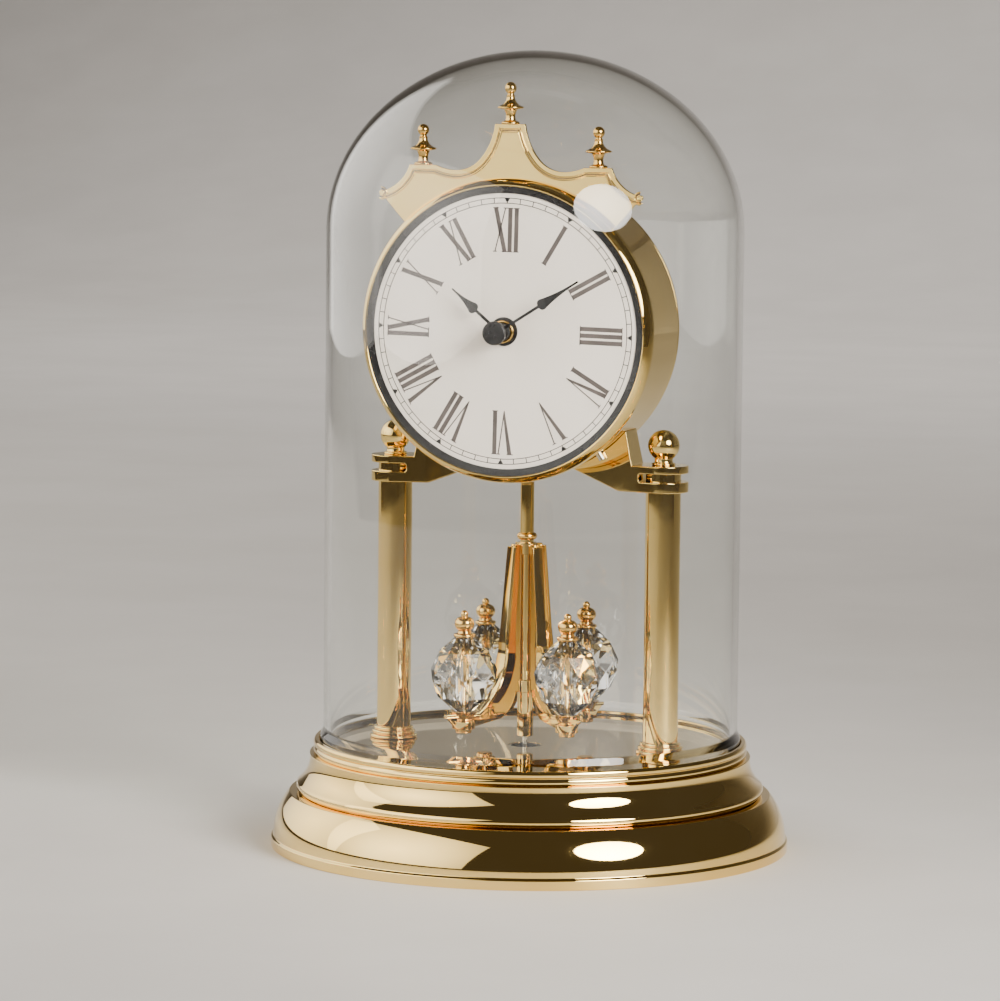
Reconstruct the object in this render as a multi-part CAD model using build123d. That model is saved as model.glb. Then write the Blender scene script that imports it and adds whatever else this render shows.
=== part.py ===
from build123d import *
from math import asin, atan2, cos, hypot, pi, radians, sin, sqrt
import os

# A domed anniversary clock: a battery movement in a drum on two columns, over a slow
# crystal pendulum that turns to and fro, all under a lift-off glass dome.
# Millimetres, +Z up, the dial faces -Y, and the origin is the middle of the base's underside.
# "Forward" is the distance in front of the clock's middle plane, so it is minus Y.

os.makedirs("parts", exist_ok=True)

# ---- clearances ----
seat_gap = 0.05          # radial gap of a piece that drops into a turned seat
running_gap = 0.05       # radial gap of a shaft that turns in a hole
loose_gap = 0.3          # radial gap round the dome's foot, which lifts out by hand

# ---- base ----
plate_height = 30.0      # top of the mirror plate above the table
plate_thickness = 1.5
base_wall = 1.2
base_margin = 14.1       # how far the rim stands out from the dome's foot
rim_height = 2.8
rim_step = 0.7
lower_tier_height = 15.8
upper_tier_height = 27.0
seat_height = 31.2       # top of the ring round the dome's foot
seat_floor = 29.2        # the ledge that the dome's foot stands on
seat_lip_width = 1.9
ledge_width = 3.9
bottom_board_thickness = 1.6
bottom_board_recess = 0.6

# ---- glass dome ----
dome_wall = 2.0
dome_clearance = 6.75    # from the bezel's nearest corner to the glass
dome_cap_rise = 51.6     # height of the rounded top
dome_headroom = 7.4      # from the top finial to the level of the inside of the crown of the glass
dome_foot_flare = 0.9
dome_foot_height = 3.0

# ---- columns ----
column_length = 75.3     # from the mirror plate to the underside of the bracket
column_radius = 5.0
column_wall = 0.8
column_inset = 1.25      # column axis inside the drum's radius
column_forward = 4.6     # columns and pendulum stand in this plane
column_foot_spread = 2.0  # how far the foot stands out from the tube
column_foot_height = 3.4
rod_radius = 1.5
nut_size = 5.5
nut_height = 2.4
washer_radius = 3.6
washer_thickness = 0.6

# ---- brackets ----
strap_height = 7.6
strap_slot_low = 3.0
strap_slot_height = 2.4
strap_drop = 3.7         # underside of the strap below the bottom of the drum
strap_end_wall = 2.1     # metal round the tube's hole at the strap's end
bracket_depth = 16.8
bracket_screw_radius = 1.0

# ---- drum, dial and bezel ----
drum_radius = 42.0
drum_wall = 1.0
drum_front = 25.7        # forward
drum_rear = -4.0         # forward
drum_flange = 3.1        # width of the front flange that carries the dial
hanger_hole_radius = 3.6
dial_thickness = 0.6
dial_hole_radius = 3.2
bezel_thickness = 1.3
bezel_back = 22.9        # forward
bezel_front = 27.5       # forward
bezel_lip = 1.0          # how far the lip covers the dial's edge
bezel_edge = 0.8         # straight part of the bezel's side, behind its rounded face
chapter_ring_width = 2.9
chapter_ring_height = 0.6
cover_plug_depth = 3.0
cover_flange = 1.2
cover_dish = 2.4

# ---- crown ----
crown_thickness = 1.2
crown_plateau = 16.2     # height of the middle plateau above the drum
crown_flat = 4.4         # height of the side flats above the drum
crown_tab_depth = 8.0
crown_tab_width = 10.0
finial_height = 11.4

# ---- movement ----
case_depth = 16.0
case_wall = 1.5
case_corner_gap = 1.8    # from the case's corners to the inside of the drum
battery_radius = 7.25
battery_length = 50.5
battery_drop = 18.4      # battery axis below the dial's centre
bay_clearance = 0.35     # round the battery
wheel_clearance = 0.3    # from the hour wheel to the chamber's floor
driven_wheel_radius = 8.2
stem_radius = 2.5
stem_length = 3.0
gear_module = 0.5
cannon_teeth = 10
motion_teeth = 30
motion_pinion_teeth = 8
hour_teeth = 32
setting_teeth = 10
motion_bearing = 60      # degrees, from the dial's right towards XII
arbor_radius = 1.0
hour_pipe_wall = 0.65
knob_radius = 5.0
knob_depth = 4.2

# ---- hands ----
hour_angle = 310.0       # clockwise from XII at rest
minute_angle = 57.5
hour_length = 18.6
minute_length = 28.0
hour_bulb_at = 10.6
minute_bulb_at = 15.8
hour_hand_forward = 29.9
minute_hand_forward = 31.9
hand_thickness = 0.4
cap_radius = 3.4
cap_front = 35.4

# ---- pendulum ----
pendulum_angle = 53.1    # bearing of the first crystal at rest, from the front towards the right
tube_radius = 2.0
tube_bore = 1.2
tube_bottom_gap = 2.6    # from the mirror plate up to the tube's end
hanger_wire = 0.5
hanger_ring = 1.7
spider_top = 58.6        # above the mirror plate
spider_thickness = 2.0
sleeve_wall = 0.35
arm_overhang = 6.3       # how far an arm's tip reaches past its crystal's axis
cup_stub_radius = 2.3
crystal_orbit = 21.2
crystal_radius = 9.5
crystal_half_height = 10.7
crystal_height = 22.1    # centre above the mirror plate
crystal_bore = 1.2
crystal_facets = 10
crystal_count = 4
crystal_rod_radius = 0.8
cup_height = 6.3
guide_hole_radius = 4.7
guide_cup_depth = 5.0
pin_radius = 0.7
pin_depth = 3.0

# ---- worked out from the values above ----
column_x = drum_radius - column_inset
column_y = -column_forward
column_foot_radius = column_radius + column_foot_spread
strap_end_radius = column_radius + strap_end_wall
strap_low = plate_height + column_length
strap_top = strap_low + strap_height
head_height = strap_low + strap_drop + drum_radius
bezel_radius = drum_radius + bezel_thickness
dome_inner = hypot(bezel_radius, bezel_front) + dome_clearance
dome_outer = dome_inner + dome_wall
foot_radius = dome_outer + dome_foot_flare
base_radius = foot_radius + base_margin
crown_plateau_height = head_height + drum_radius + crown_plateau
crown_flat_height = head_height + drum_radius + crown_flat
dome_inner_top = crown_plateau_height + finial_height + dome_headroom
dome_top = dome_inner_top + dome_wall
dial_front = drum_front + dial_thickness
tube_low = plate_height + tube_bottom_gap
orbit_bearings = [pendulum_angle + 360 / crystal_count * k for k in range(crystal_count)]


def outline(start, *steps):
    """Closed face in the (radius, height) half plane. A step is an end point,
    or a pair of points: the middle and the end of an arc."""
    edges = []
    here = start
    for step in steps:
        if isinstance(step[0], tuple):
            middle, end = step
            edges.append(ThreePointArc(here, middle, end))
        else:
            end = step
            edges.append(Line(here, end))
        here = end
    edges.append(Line(here, start))
    return make_face(Plane.XZ * (Curve() + edges))


def turned(start, *steps):
    """Solid of revolution about Z with that outline."""
    return revolve(outline(start, *steps), Axis.Z)


def rod(radius, low, high, bore=0.0):
    """Round bar or tube about Z from one height to another."""
    bar = Pos(0, 0, low) * extrude(Circle(radius), high - low)
    if bore:
        bar -= Pos(0, 0, low) * extrude(Circle(bore), high - low)
    return bar


def block(low, high):
    """Box from its lowest to its highest corner."""
    size = [b - a for a, b in zip(low, high)]
    middle = [(a + b) / 2 for a, b in zip(low, high)]
    return Pos(*middle) * Box(*size)


def on_head(shape):
    """Moves a shape from the drum's own frame (right, up, forward) into place."""
    return Pos(0, 0, head_height) * Rot(90, 0, 0) * shape


def on_column(side, shape):
    return Pos(side * column_x, column_y, 0) * shape


def group(shapes):
    return Compound(children=list(shapes))


def save(name, shape):
    export_step(shape, f"parts/{name}.step")


# ================= base =================

def base_shell():
    """Two stepped tiers in one pressed shell, open below, with a ledge inside the top."""
    rim = base_radius
    band = rim - rim_step
    lower_edge = rim - 5.3
    groove = rim - 8.8
    upper_foot = rim - 7.7
    upper_edge = rim - 11.1
    ledge = upper_edge - 1.0 - ledge_width
    wall = base_wall
    return turned(
        (rim, 0), (rim, rim_height), (band, rim_height + 0.4), (band, rim_height + 1.4),
        ((rim - 1.8, 9.8), (lower_edge, lower_tier_height)),
        (groove, lower_tier_height),
        ((upper_foot + 0.35, lower_tier_height + 1.3), (upper_foot, lower_tier_height + 2.8)),
        ((upper_foot - 2.6, upper_tier_height - 5.0), (upper_edge, upper_tier_height)),
        (ledge, upper_tier_height), (ledge, upper_tier_height - wall),
        (upper_edge - wall, upper_tier_height - wall),
        ((upper_foot - 2.6 - wall, upper_tier_height - 5.6), (upper_foot - 1.5 * wall, lower_tier_height + 2.4)),
        (groove - wall, lower_tier_height), (groove - wall, lower_tier_height - wall),
        (lower_edge - wall, lower_tier_height - wall),
        ((rim - 1.8 - wall, 8.8), (band - wall, rim_height + 1.0)),
        (band - wall, 0))


def dome_seat_ring():
    """Double-beaded ring round the dome's foot, with the ledge that the glass stands on."""
    inner = foot_radius + loose_gap
    outer = inner + seat_lip_width - loose_gap
    middle = (upper_tier_height + seat_height) / 2
    quarter = (seat_height - upper_tier_height) / 4
    plate_edge = dome_inner - 1.0
    return turned(
        (plate_edge, upper_tier_height), (outer - 0.5, upper_tier_height),
        ((outer, middle - quarter), (outer - 0.5, middle)),
        ((outer, middle + quarter), (outer - 0.5, seat_height)),
        (inner, seat_height), (inner, seat_floor), (plate_edge, seat_floor))


def plate_radius():
    return dome_inner - 1.0 - seat_gap


def base_plate():
    """Mirror plate that carries the columns; its edge sits inside the ring, on the shell's ledge."""
    low = plate_height - plate_thickness
    plate = rod(plate_radius(), low, plate_height)
    plate += rod(plate_radius(), upper_tier_height, low, plate_radius() - 3.0)
    plate -= Pos(0, column_y, 0) * rod(guide_hole_radius + seat_gap, low - 1, plate_height + 1)
    for side in (-1, 1):
        plate -= on_column(side, rod(rod_radius + 0.1, low - 1, plate_height + 1))
    return plate


def bottom_board():
    """Felt-faced board that closes the base, pressed inside the rim."""
    radius = base_radius - rim_step - base_wall - seat_gap
    return rod(radius, bottom_board_recess, bottom_board_recess + bottom_board_thickness)


def guide_cup():
    """Black cup under the hole in the plate; it keeps the pendulum's pin from swinging out."""
    low = plate_height - guide_cup_depth
    wall = 0.9
    cup = rod(guide_hole_radius, low, plate_height - 0.1)
    cup += rod(guide_hole_radius + 1.6, low + 2.0, plate_height - plate_thickness)
    cup -= rod(guide_hole_radius - wall, low + 1.0, plate_height)
    return Pos(0, column_y, 0) * cup


# ================= columns =================

def column_tube():
    return rod(column_radius, plate_height + 1.2, strap_low + strap_slot_low + strap_slot_height,
               column_radius - column_wall)


def column_foot():
    """Turned foot: two beads, bored for the tube, standing on the plate."""
    radius = column_foot_radius
    low = plate_height
    bead = column_foot_height * 0.55
    bore = column_radius + seat_gap
    foot = turned(
        (rod_radius + 0.1, low), (radius - 0.4, low),
        ((radius, low + bead / 2), (radius - 0.5, low + bead)),
        ((radius - 0.4, low + 0.78 * column_foot_height), (bore + 0.5, low + column_foot_height)),
        (bore, low + column_foot_height), (bore, low + 1.2), (rod_radius + 0.1, low + 1.2))
    return foot


def column_finial():
    """Ball on a waisted neck, tapped for the tie rod."""
    low = strap_top
    ball = 4.5
    neck = 2.0
    centre = low + 5.6
    start = centre - sqrt(ball ** 2 - neck ** 2)
    shape = turned(
        (0, low), (3.3, low), ((3.5, low + 0.4), (3.1, low + 0.8)), (neck, start - 0.2), (neck, start),
        ((ball, centre), (0, centre + ball)))
    return shape - rod(rod_radius + 0.02, low - 1, low + 3.6)


def tie_rod():
    """Threaded rod that clamps finial, bracket, column and plate together."""
    low = plate_height - plate_thickness - washer_thickness - nut_height - 1.5
    return rod(rod_radius, low, strap_top + 3.4)


def column_nut():
    low = plate_height - plate_thickness - washer_thickness - nut_height
    nut = Pos(0, 0, low) * extrude(RegularPolygon(nut_size / 2, 6, major_radius=False), nut_height)
    return nut - rod(rod_radius + 0.02, low - 1, low + nut_height + 1)


def column_washer():
    top = plate_height - plate_thickness
    return rod(washer_radius, top - washer_thickness, top, rod_radius + 0.1)


# ================= brackets =================

def bracket(side):
    """Slotted strap that grips the column's head, with a web that cradles the drum."""
    cx = column_x
    ridge_x = cx - 9.75
    half = bracket_depth / 2
    skin = drum_radius + 0.02
    top_bearing = radians(47.6)
    low_bearing = radians(18.5)
    top_x, top_z = skin * sin(top_bearing), head_height - skin * cos(top_bearing)
    low_x, low_z = skin * sin(low_bearing), head_height - skin * cos(low_bearing)
    end_x = cx + strap_end_radius
    front = Polyline(
        (end_x, strap_low), (end_x, strap_top), (ridge_x + 2.0, strap_top), (top_x, top_z),
        (top_x - 6, top_z + 6), (low_x - 4, low_z + 4), (low_x, low_z), (ridge_x - 2.2, strap_low), close=True)
    body = extrude(Plane.XZ * make_face(front), bracket_depth, both=True)
    angle = atan2(half, 9.75) + asin(strap_end_radius / hypot(half, 9.75)) - pi / 2
    touch_x = strap_end_radius * -sin(angle)
    touch_y = strap_end_radius * cos(angle)
    plan_edges = [
        Line((low_x - 6, -half * 0.5), (ridge_x, -half)),
        Line((ridge_x, -half), (cx - touch_x, -touch_y)),
        ThreePointArc((cx - touch_x, -touch_y), (end_x, 0), (cx - touch_x, touch_y)),
        Line((cx - touch_x, touch_y), (ridge_x, half)),
        Line((ridge_x, half), (low_x - 6, half * 0.5)),
        Line((low_x - 6, half * 0.5), (low_x - 6, -half * 0.5))]
    plan = Pos(0, 0, strap_low - 1) * extrude(make_face(Curve() + plan_edges), 60)
    body = body & plan
    slot_low = strap_low + strap_slot_low
    body -= block((cx - column_radius - 0.6, -20, slot_low), (end_x + 1, 20, slot_low + strap_slot_height))
    body -= Pos(cx, 0, 0) * rod(column_radius + seat_gap, strap_low - 1, slot_low + 0.1)
    body -= Pos(cx, 0, 0) * rod(rod_radius + 0.1, strap_low, strap_top + 1)
    body = Pos(0, column_y, 0) * body
    body -= on_head(rod(skin, drum_rear - 20, drum_front + 20))
    for screw in bracket_screw_places():
        body -= on_head(screw * rod(bracket_screw_radius + 0.02, drum_radius - 3, drum_radius + 2.2))
    if side < 0:
        body = mirror(body, Plane.YZ)
    return body


def bracket_screw_places():
    """Places of one bracket's two screws, as seen along each screw from inside the drum."""
    bearing = -90 + 33
    return [Rot(0, 0, bearing) * Pos(0, 0, column_forward + offset) * Rot(0, 90, 0) for offset in (-2.4, 4.4)]


def bracket_screw():
    """Pan-head screw pointing out of the drum's wall into the bracket."""
    inside = drum_radius - drum_wall - seat_gap
    return rod(1.8, inside - 1.2, inside) + rod(bracket_screw_radius, inside, drum_radius + 2.0)


# ================= drum =================

def drum_case():
    """Spun drum: a tube with a front flange that carries the dial."""
    inside = drum_radius - drum_wall
    case = turned(
        (inside, drum_rear), (drum_radius, drum_rear), (drum_radius, drum_front),
        (drum_radius - drum_flange, drum_front), (drum_radius - drum_flange, drum_front - drum_wall),
        (inside, drum_front - drum_wall))
    hole = Pos(0, -drum_radius, column_forward) * Rot(90, 0, 0) * rod(hanger_hole_radius, -5, 5)
    case -= hole
    for place in bracket_screw_places():
        for side in (0, 1):
            screw = place * rod(bracket_screw_radius + 0.05, drum_radius - 3, drum_radius + 3)
            case -= mirror(screw, Plane.YZ) if side else screw
    case -= Pos(0, 0, crown_screw_forward()) * Rot(-90, 0, 0) * rod(0.85, drum_radius - 3, drum_radius + 3)
    return on_head(case)


def rear_cover():
    """Snap-in cover over the movement: a plug ring, a dished face and a finger tab."""
    plug = drum_radius - drum_wall - 0.08
    flange = drum_rear - cover_flange
    cover = turned(
        (0, flange - cover_dish), ((plug * 0.55, flange - cover_dish * 0.72), (plug - 2.0, flange)),
        (drum_radius, flange), (drum_radius, drum_rear), (plug, drum_rear),
        (plug, drum_rear + cover_plug_depth), (plug - 1.0, drum_rear + cover_plug_depth),
        (plug - 1.0, drum_rear), (plug - 3.0, drum_rear), (0, flange - cover_dish + 1.2))
    tab = block((-5.0, -plug - 1.0, flange - 1.6), (5.0, -plug + 2.5, flange))
    gap = block((-5.5, -plug - 2, drum_rear + 0.01), (5.5, -plug + 4, drum_rear + cover_plug_depth + 1))
    return on_head(cover + tab - gap)


def bezel():
    """Polished ring round the drum's front, holding the dial in."""
    inner = drum_radius + seat_gap
    outer = bezel_radius
    lip = drum_radius - bezel_lip
    under = dial_front + chapter_ring_height
    side = bezel_back + bezel_edge
    return on_head(turned(
        (inner, bezel_back), (outer, bezel_back), (outer, side),
        ((outer - 0.6, (side + bezel_front) / 2 + 0.4), (lip + 0.35, bezel_front)),
        (lip, bezel_front - 0.25), (lip, under), (inner, under)))


def chapter_ring():
    """Black ring between the dial and the bezel's lip."""
    outer = drum_radius - 0.1
    inner = outer - chapter_ring_width
    top = dial_front + chapter_ring_height
    return on_head(turned(
        (inner, dial_front), (outer, dial_front), (outer, top), (outer - 0.9, top), (inner, dial_front + 0.25)))


def dial():
    return on_head(rod(drum_radius - 0.1, drum_front, dial_front, dial_hole_radius))


# ================= crown =================

def crown_screw_forward():
    return bezel_back - crown_thickness - crown_tab_depth / 2


def crown_outline():
    """Pediment: a middle plateau between two scoops, side flats and pointed ears."""
    flat = drum_radius + crown_flat
    peak = drum_radius + crown_plateau
    inner = drum_radius + seat_gap
    ear = drum_radius - 2.8
    ear_high, ear_low = drum_radius - 3.2, drum_radius - 4.1
    foot_bearing = radians(46.5)
    foot = (inner * sin(foot_bearing), inner * cos(foot_bearing))
    half = [
        Line((0, peak), (4.45, peak)),
        ThreePointArc((4.45, peak), (5.6, peak - 4.6), (8.4, flat + 2.4)),
        ThreePointArc((8.4, flat + 2.4), (11.7, flat - 0.3), (16.4, flat - 1.3)),
        ThreePointArc((16.4, flat - 1.3), (19.4, flat - 0.9), (22.1, flat)),
        Line((22.1, flat), (drum_radius - 12.0, flat)),
        ThreePointArc((drum_radius - 12.0, flat), (drum_radius - 9.2, flat - 4.6), (ear - 1.2, ear_high)),
        ThreePointArc((ear - 1.2, ear_high), (ear, (ear_high + ear_low) / 2), (ear - 1.0, ear_low - 0.3)),
        Line((ear - 1.0, ear_low - 0.3), foot)]
    mirrored = [mirror(edge, Plane.YZ) for edge in half]
    bottom = ThreePointArc((-foot[0], foot[1]), (0, inner), foot)
    return make_face(Curve() + half + mirrored + [bottom])


def crown_plate():
    """Pressed pediment behind the bezel, with a tab that sits on the drum."""
    back = bezel_back - crown_thickness
    plate = Pos(0, 0, back) * extrude(crown_outline(), crown_thickness)
    inner = drum_radius + seat_gap
    tab = rod(inner + 1.0, back - crown_tab_depth, back, inner)
    half = crown_tab_width / 2
    tab &= block((-half, 0, back - crown_tab_depth), (half, drum_radius + 5, back))
    plate += tab
    plate -= Pos(0, 0, crown_screw_forward()) * Rot(-90, 0, 0) * rod(0.85, drum_radius - 3, drum_radius + 3)
    return on_head(plate)


def crown_screw():
    """Short screw and nut-like head that hold the crown's tab to the drum."""
    head = rod(1.6, drum_radius + seat_gap + 1.0, drum_radius + seat_gap + 2.0)
    shank = rod(0.8, drum_radius - drum_wall - 1.5, drum_radius + seat_gap + 1.0)
    return on_head(Pos(0, 0, crown_screw_forward()) * Rot(-90, 0, 0) * (head + shank))


def crown_finial():
    """Small turned finial: foot, flange, tapered neck and ball."""
    ball_radius = 1.5
    ball = finial_height - ball_radius
    rise = sqrt(ball_radius ** 2 - 0.9 ** 2)
    return turned(
        (0, 0), (2.5, 0), ((2.6, 0.5), (2.1, 1.0)), ((1.3, 2.4), (1.9, 3.9)),
        (3.6, 4.3), ((3.75, 4.6), (3.6, 4.9)), (1.7, 5.4), ((1.1, 7.0), (0.9, ball - rise)),
        ((ball_radius, ball), (0, finial_height)))


# ================= movement =================

case_half = (drum_radius - drum_wall - case_corner_gap) / sqrt(2) - 0.7
case_back = drum_front - case_depth
chamber_floor = gear_module * (hour_teeth / 2 + 1) + wheel_clearance
stem_bore = arbor_radius + running_gap + hour_pipe_wall + running_gap
motion_distance = gear_module * (cannon_teeth + motion_teeth) / 2
motion_x = motion_distance * cos(radians(motion_bearing))
motion_up = motion_distance * sin(radians(motion_bearing))
setting_bearing = 180 - motion_bearing
setting_distance = gear_module * (motion_teeth + setting_teeth) / 2
setting_x = motion_x + setting_distance * cos(radians(setting_bearing))
setting_up = motion_up + setting_distance * sin(radians(setting_bearing))


def movement_case():
    """Black case: battery bay open at the back, gear chamber, threaded stem and a tongue below."""
    half = case_half
    case = block((-half, -half, case_back), (half, half, drum_front))
    bay = battery_radius + bay_clearance
    bay_half = battery_length / 2 + 0.8
    case -= block((-bay_half, -battery_drop - bay, case_back - 1),
                  (bay_half, -battery_drop + bay, drum_front - 1.1))
    case -= block((-half + case_wall, -chamber_floor, case_back - 1),
                  (half - case_wall, half - case_wall, drum_front - case_wall))
    case += rod(stem_radius, drum_front, drum_front + stem_length)
    case -= rod(stem_bore, drum_front - 5, drum_front + stem_length + 1)
    blind = drum_front - case_wall
    case -= Pos(motion_x, motion_up, 0) * rod(0.8 + running_gap, blind - 1, blind + 0.8)
    case -= Pos(setting_x, setting_up, 0) * rod(1.2 + running_gap, blind - 1, blind + 0.8)
    tongue_low = -drum_radius + 5.6
    case += block((-10, tongue_low, case_back), (10, -half, case_back + 2.5))
    return on_head(case)


def movement_cover():
    """Rear plate of the gear chamber, with the arbors' bearing holes."""
    half = case_half - case_wall - 0.05
    cover = block((-half, -chamber_floor + 0.05, case_back), (half, half, case_back + case_wall))
    cover -= rod(arbor_radius + running_gap, case_back - 1, case_back + 3)
    cover -= Pos(motion_x, motion_up, 0) * rod(0.8 + running_gap, case_back - 1, case_back + 3)
    cover -= Pos(setting_x, setting_up, 0) * rod(1.2 + running_gap, case_back - 1, case_back + 3)
    return on_head(cover)


def battery():
    """Size AA cell lying across the bay."""
    half = battery_length / 2
    cell = rod(battery_radius, -half, half - 1.0) + rod(2.7, half - 1.0, half)
    return on_head(Pos(0, -battery_drop, case_back + battery_radius + 0.4) * Rot(0, 90, 0) * cell)


def battery_contact(side):
    """Sprung strip at one end of the battery bay."""
    end = battery_length / 2
    strip = block((end + 0.1, -battery_drop - 4, case_back + 2), (end + 0.6, -battery_drop + 4, drum_front - 1.6))
    return on_head(strip if side > 0 else mirror(strip, Plane.YZ))


def step_coil():
    """Coil of the stepping motor on its bobbin."""
    coil = rod(3.4, -6.5, 6.5, 1.6) + rod(4.0, -7.6, -6.5, 1.6) + rod(4.0, 6.5, 7.6, 1.6)
    return on_head(Pos(-16, 12, case_back + 6.2) * Rot(90, 0, 0) * coil)


def stator():
    """Laminated yoke that passes through the coil and closes round the rotor's place."""
    depth = case_back + 6.2
    core = Pos(-16, 12, depth) * Rot(90, 0, 0) * rod(1.5, -11, 11)
    legs = block((-17.5, 1.0, depth - 0.8), (-10.5, 4.0, depth + 0.8))
    legs += block((-17.5, 20.0, depth - 0.8), (-10.5, 23.0, depth + 0.8))
    return on_head(core + legs)


def circuit_board():
    base = case_back + case_wall
    board = block((12, 0.8 - chamber_floor, base), (24, 22, base + 1.0))
    chip = Pos(18, 10, base + 1.0) * extrude(Circle(2.6), 1.4)
    crystal = block((16.5, -4, base + 1.0), (19.5, 3, base + 3.4))
    return on_head(board + chip + crystal)


def gear(teeth, face_low, face_high, phase, bore=0.0):
    """Spur gear with slim straight-sided teeth; one tooth points to the phase angle."""
    pitch = gear_module * teeth / 2
    root, tip = pitch - gear_module * 1.05, pitch + gear_module * 0.75
    step = 360 / teeth
    root_half, tip_half = step * 0.30, step * 0.10
    corners = []
    for k in range(teeth):
        centre = phase + k * step
        for radius, turn in ((root, -root_half), (tip, -tip_half), (tip, tip_half), (root, root_half)):
            angle = radians(centre + turn)
            corners.append((radius * cos(angle), radius * sin(angle)))
    wheel = Pos(0, 0, face_low) * extrude(make_face(Polyline(corners, close=True)), face_high - face_low)
    return wheel - rod(bore, face_low - 1, face_high + 1) if bore else wheel


def spoked(wheel, radius, hub, low, high):
    """Cuts four windows between a wheel's hub and rim."""
    middle = (radius + hub) / 2
    for k in range(4):
        wheel -= Rot(0, 0, 45 + 90 * k) * Pos(middle, 0, 0) * rod((radius - hub) / 2 - 0.4, low - 1, high + 1)
    return wheel


gear_back = case_back + 10.0
hour_back = gear_back + 2.4


def centre_wheel():
    """Minute arbor with the driven wheel and the cannon pinion."""
    arbor = rod(arbor_radius, case_back + 0.4, minute_hand_forward + 0.9)
    low = case_back + 4.0
    radius = driven_wheel_radius
    wheel = spoked(rod(radius, low, low + 0.8), radius - 1.0, 1.6, low, low + 0.8)
    pinion = gear(cannon_teeth, gear_back - 0.3, gear_back + 1.7, motion_bearing)
    return on_head(arbor + wheel + pinion)


def motion_wheel():
    """Idler of the motion work: large wheel from the cannon pinion, small pinion to the hour wheel."""
    gap_angle = motion_bearing + 180 + 180 / motion_teeth
    wheel = gear(motion_teeth, gear_back, gear_back + 1.4, gap_angle)
    wheel = spoked(wheel, 6.4, 1.8, gear_back, gear_back + 1.4)
    pinion = gear(motion_pinion_teeth, gear_back + 1.4, hour_back + 1.4, motion_bearing + 180)
    arbor = rod(0.8, case_back + 0.4, drum_front - case_wall + 0.7)
    return on_head(Pos(motion_x, motion_up, 0) * (wheel + pinion + arbor))


def hour_wheel():
    """Hour wheel on its pipe, which turns on the minute arbor inside the stem."""
    phase = motion_bearing + 180 / hour_teeth
    bore = arbor_radius + running_gap
    wheel = gear(hour_teeth, hour_back, hour_back + 1.0, phase, bore)
    wheel = spoked(wheel, 6.6, 2.2, hour_back, hour_back + 1.0)
    pipe = rod(stem_bore - running_gap, hour_back, hour_hand_forward + 0.7, bore)
    return on_head(wheel + pipe)


def setting_knob():
    """Hand-setting knob behind the movement, with its arbor and pinion."""
    step = 360 / motion_teeth
    wheel_phase = motion_bearing + 180 + 180 / motion_teeth
    nearest = round((setting_bearing - wheel_phase) / step)
    lead = wheel_phase + nearest * step - setting_bearing
    phase = setting_bearing + 180 - lead * motion_teeth / setting_teeth + 180 / setting_teeth
    pinion = gear(setting_teeth, gear_back, gear_back + 1.4, phase)
    arbor = rod(1.2, case_back - 0.5, drum_front - case_wall + 0.7)
    high = case_back - 0.5
    knob = rod(knob_radius, high - knob_depth, high)
    for k in range(18):
        knob -= Rot(0, 0, 20 * k) * Pos(knob_radius + 0.25, 0, 0) * rod(0.5, high - knob_depth - 1, high + 1)
    return on_head(Pos(setting_x, setting_up, 0) * (pinion + arbor + knob))


def stem_washer():
    return on_head(rod(4.1, dial_front, dial_front + 0.5, stem_radius + seat_gap))


def stem_nut():
    """Round brass nut that clamps the dial to the movement."""
    low = dial_front + 0.5
    nut = rod(3.2, low, low + 1.6, stem_radius + seat_gap)
    for k in range(2):
        nut -= Rot(0, 0, 90 * k) * block((-0.5, 2.9, low + 0.6), (0.5, 4, low + 2))
    return on_head(nut)


# ================= hands =================

def hand(length, bulb_at, bulb, rod_half, tip_half, hub, hub_bore, angle, forward):
    """Hub, straight rod, round-shouldered bulb and a long taper to the tip."""
    shoulder = bulb_at - bulb * 0.75
    stem = Polyline((-rod_half, hub * 0.7), (-rod_half, bulb_at), (rod_half, bulb_at), (rod_half, hub * 0.7), close=True)
    blade_edges = [
        ThreePointArc((-bulb, bulb_at), (0, shoulder - 0.25 * bulb), (bulb, bulb_at)),
        Spline((bulb, bulb_at), (bulb * 0.42, bulb_at + (length - bulb_at) * 0.42), (tip_half, length),
               tangents=[(0, 1), (0, 1)]),
        Line((tip_half, length), (-tip_half, length)),
        Spline((-tip_half, length), (-bulb * 0.42, bulb_at + (length - bulb_at) * 0.42), (-bulb, bulb_at),
               tangents=[(0, -1), (0, -1)])]
    flat = make_face(stem) + make_face(Curve() + blade_edges) + Circle(hub)
    shape = extrude(flat, hand_thickness) + rod(hub, -0.3, 0.6)
    shape -= rod(hub_bore, -1, 2)
    return on_head(Pos(0, 0, forward) * Rot(0, 0, -angle) * shape)


def hour_hand():
    return hand(hour_length, hour_bulb_at, 1.6, 0.42, 0.25, 2.5, stem_bore - running_gap,
                hour_angle, hour_hand_forward)


def minute_hand():
    return hand(minute_length, minute_bulb_at, 1.55, 0.4, 0.25, 2.1, arbor_radius,
                minute_angle, minute_hand_forward)


def hand_cap():
    """Domed black cap pressed on the end of the minute arbor."""
    low = minute_hand_forward + 0.6
    cap = turned(
        (0, low), (1.7, low), (1.9, low + 0.9), (cap_radius - 0.3, cap_front - 1.6),
        ((cap_radius, cap_front - 1.1), (cap_radius - 0.4, cap_front - 0.4)), (0, cap_front))
    return on_head(cap - rod(arbor_radius, low - 1, minute_hand_forward + 0.9))


# ================= pendulum and its drive =================

drive_low = head_height - drum_radius + 4.5
drive_top = head_height - case_half + 0.5
drive_forward = column_forward + 5.1


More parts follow.
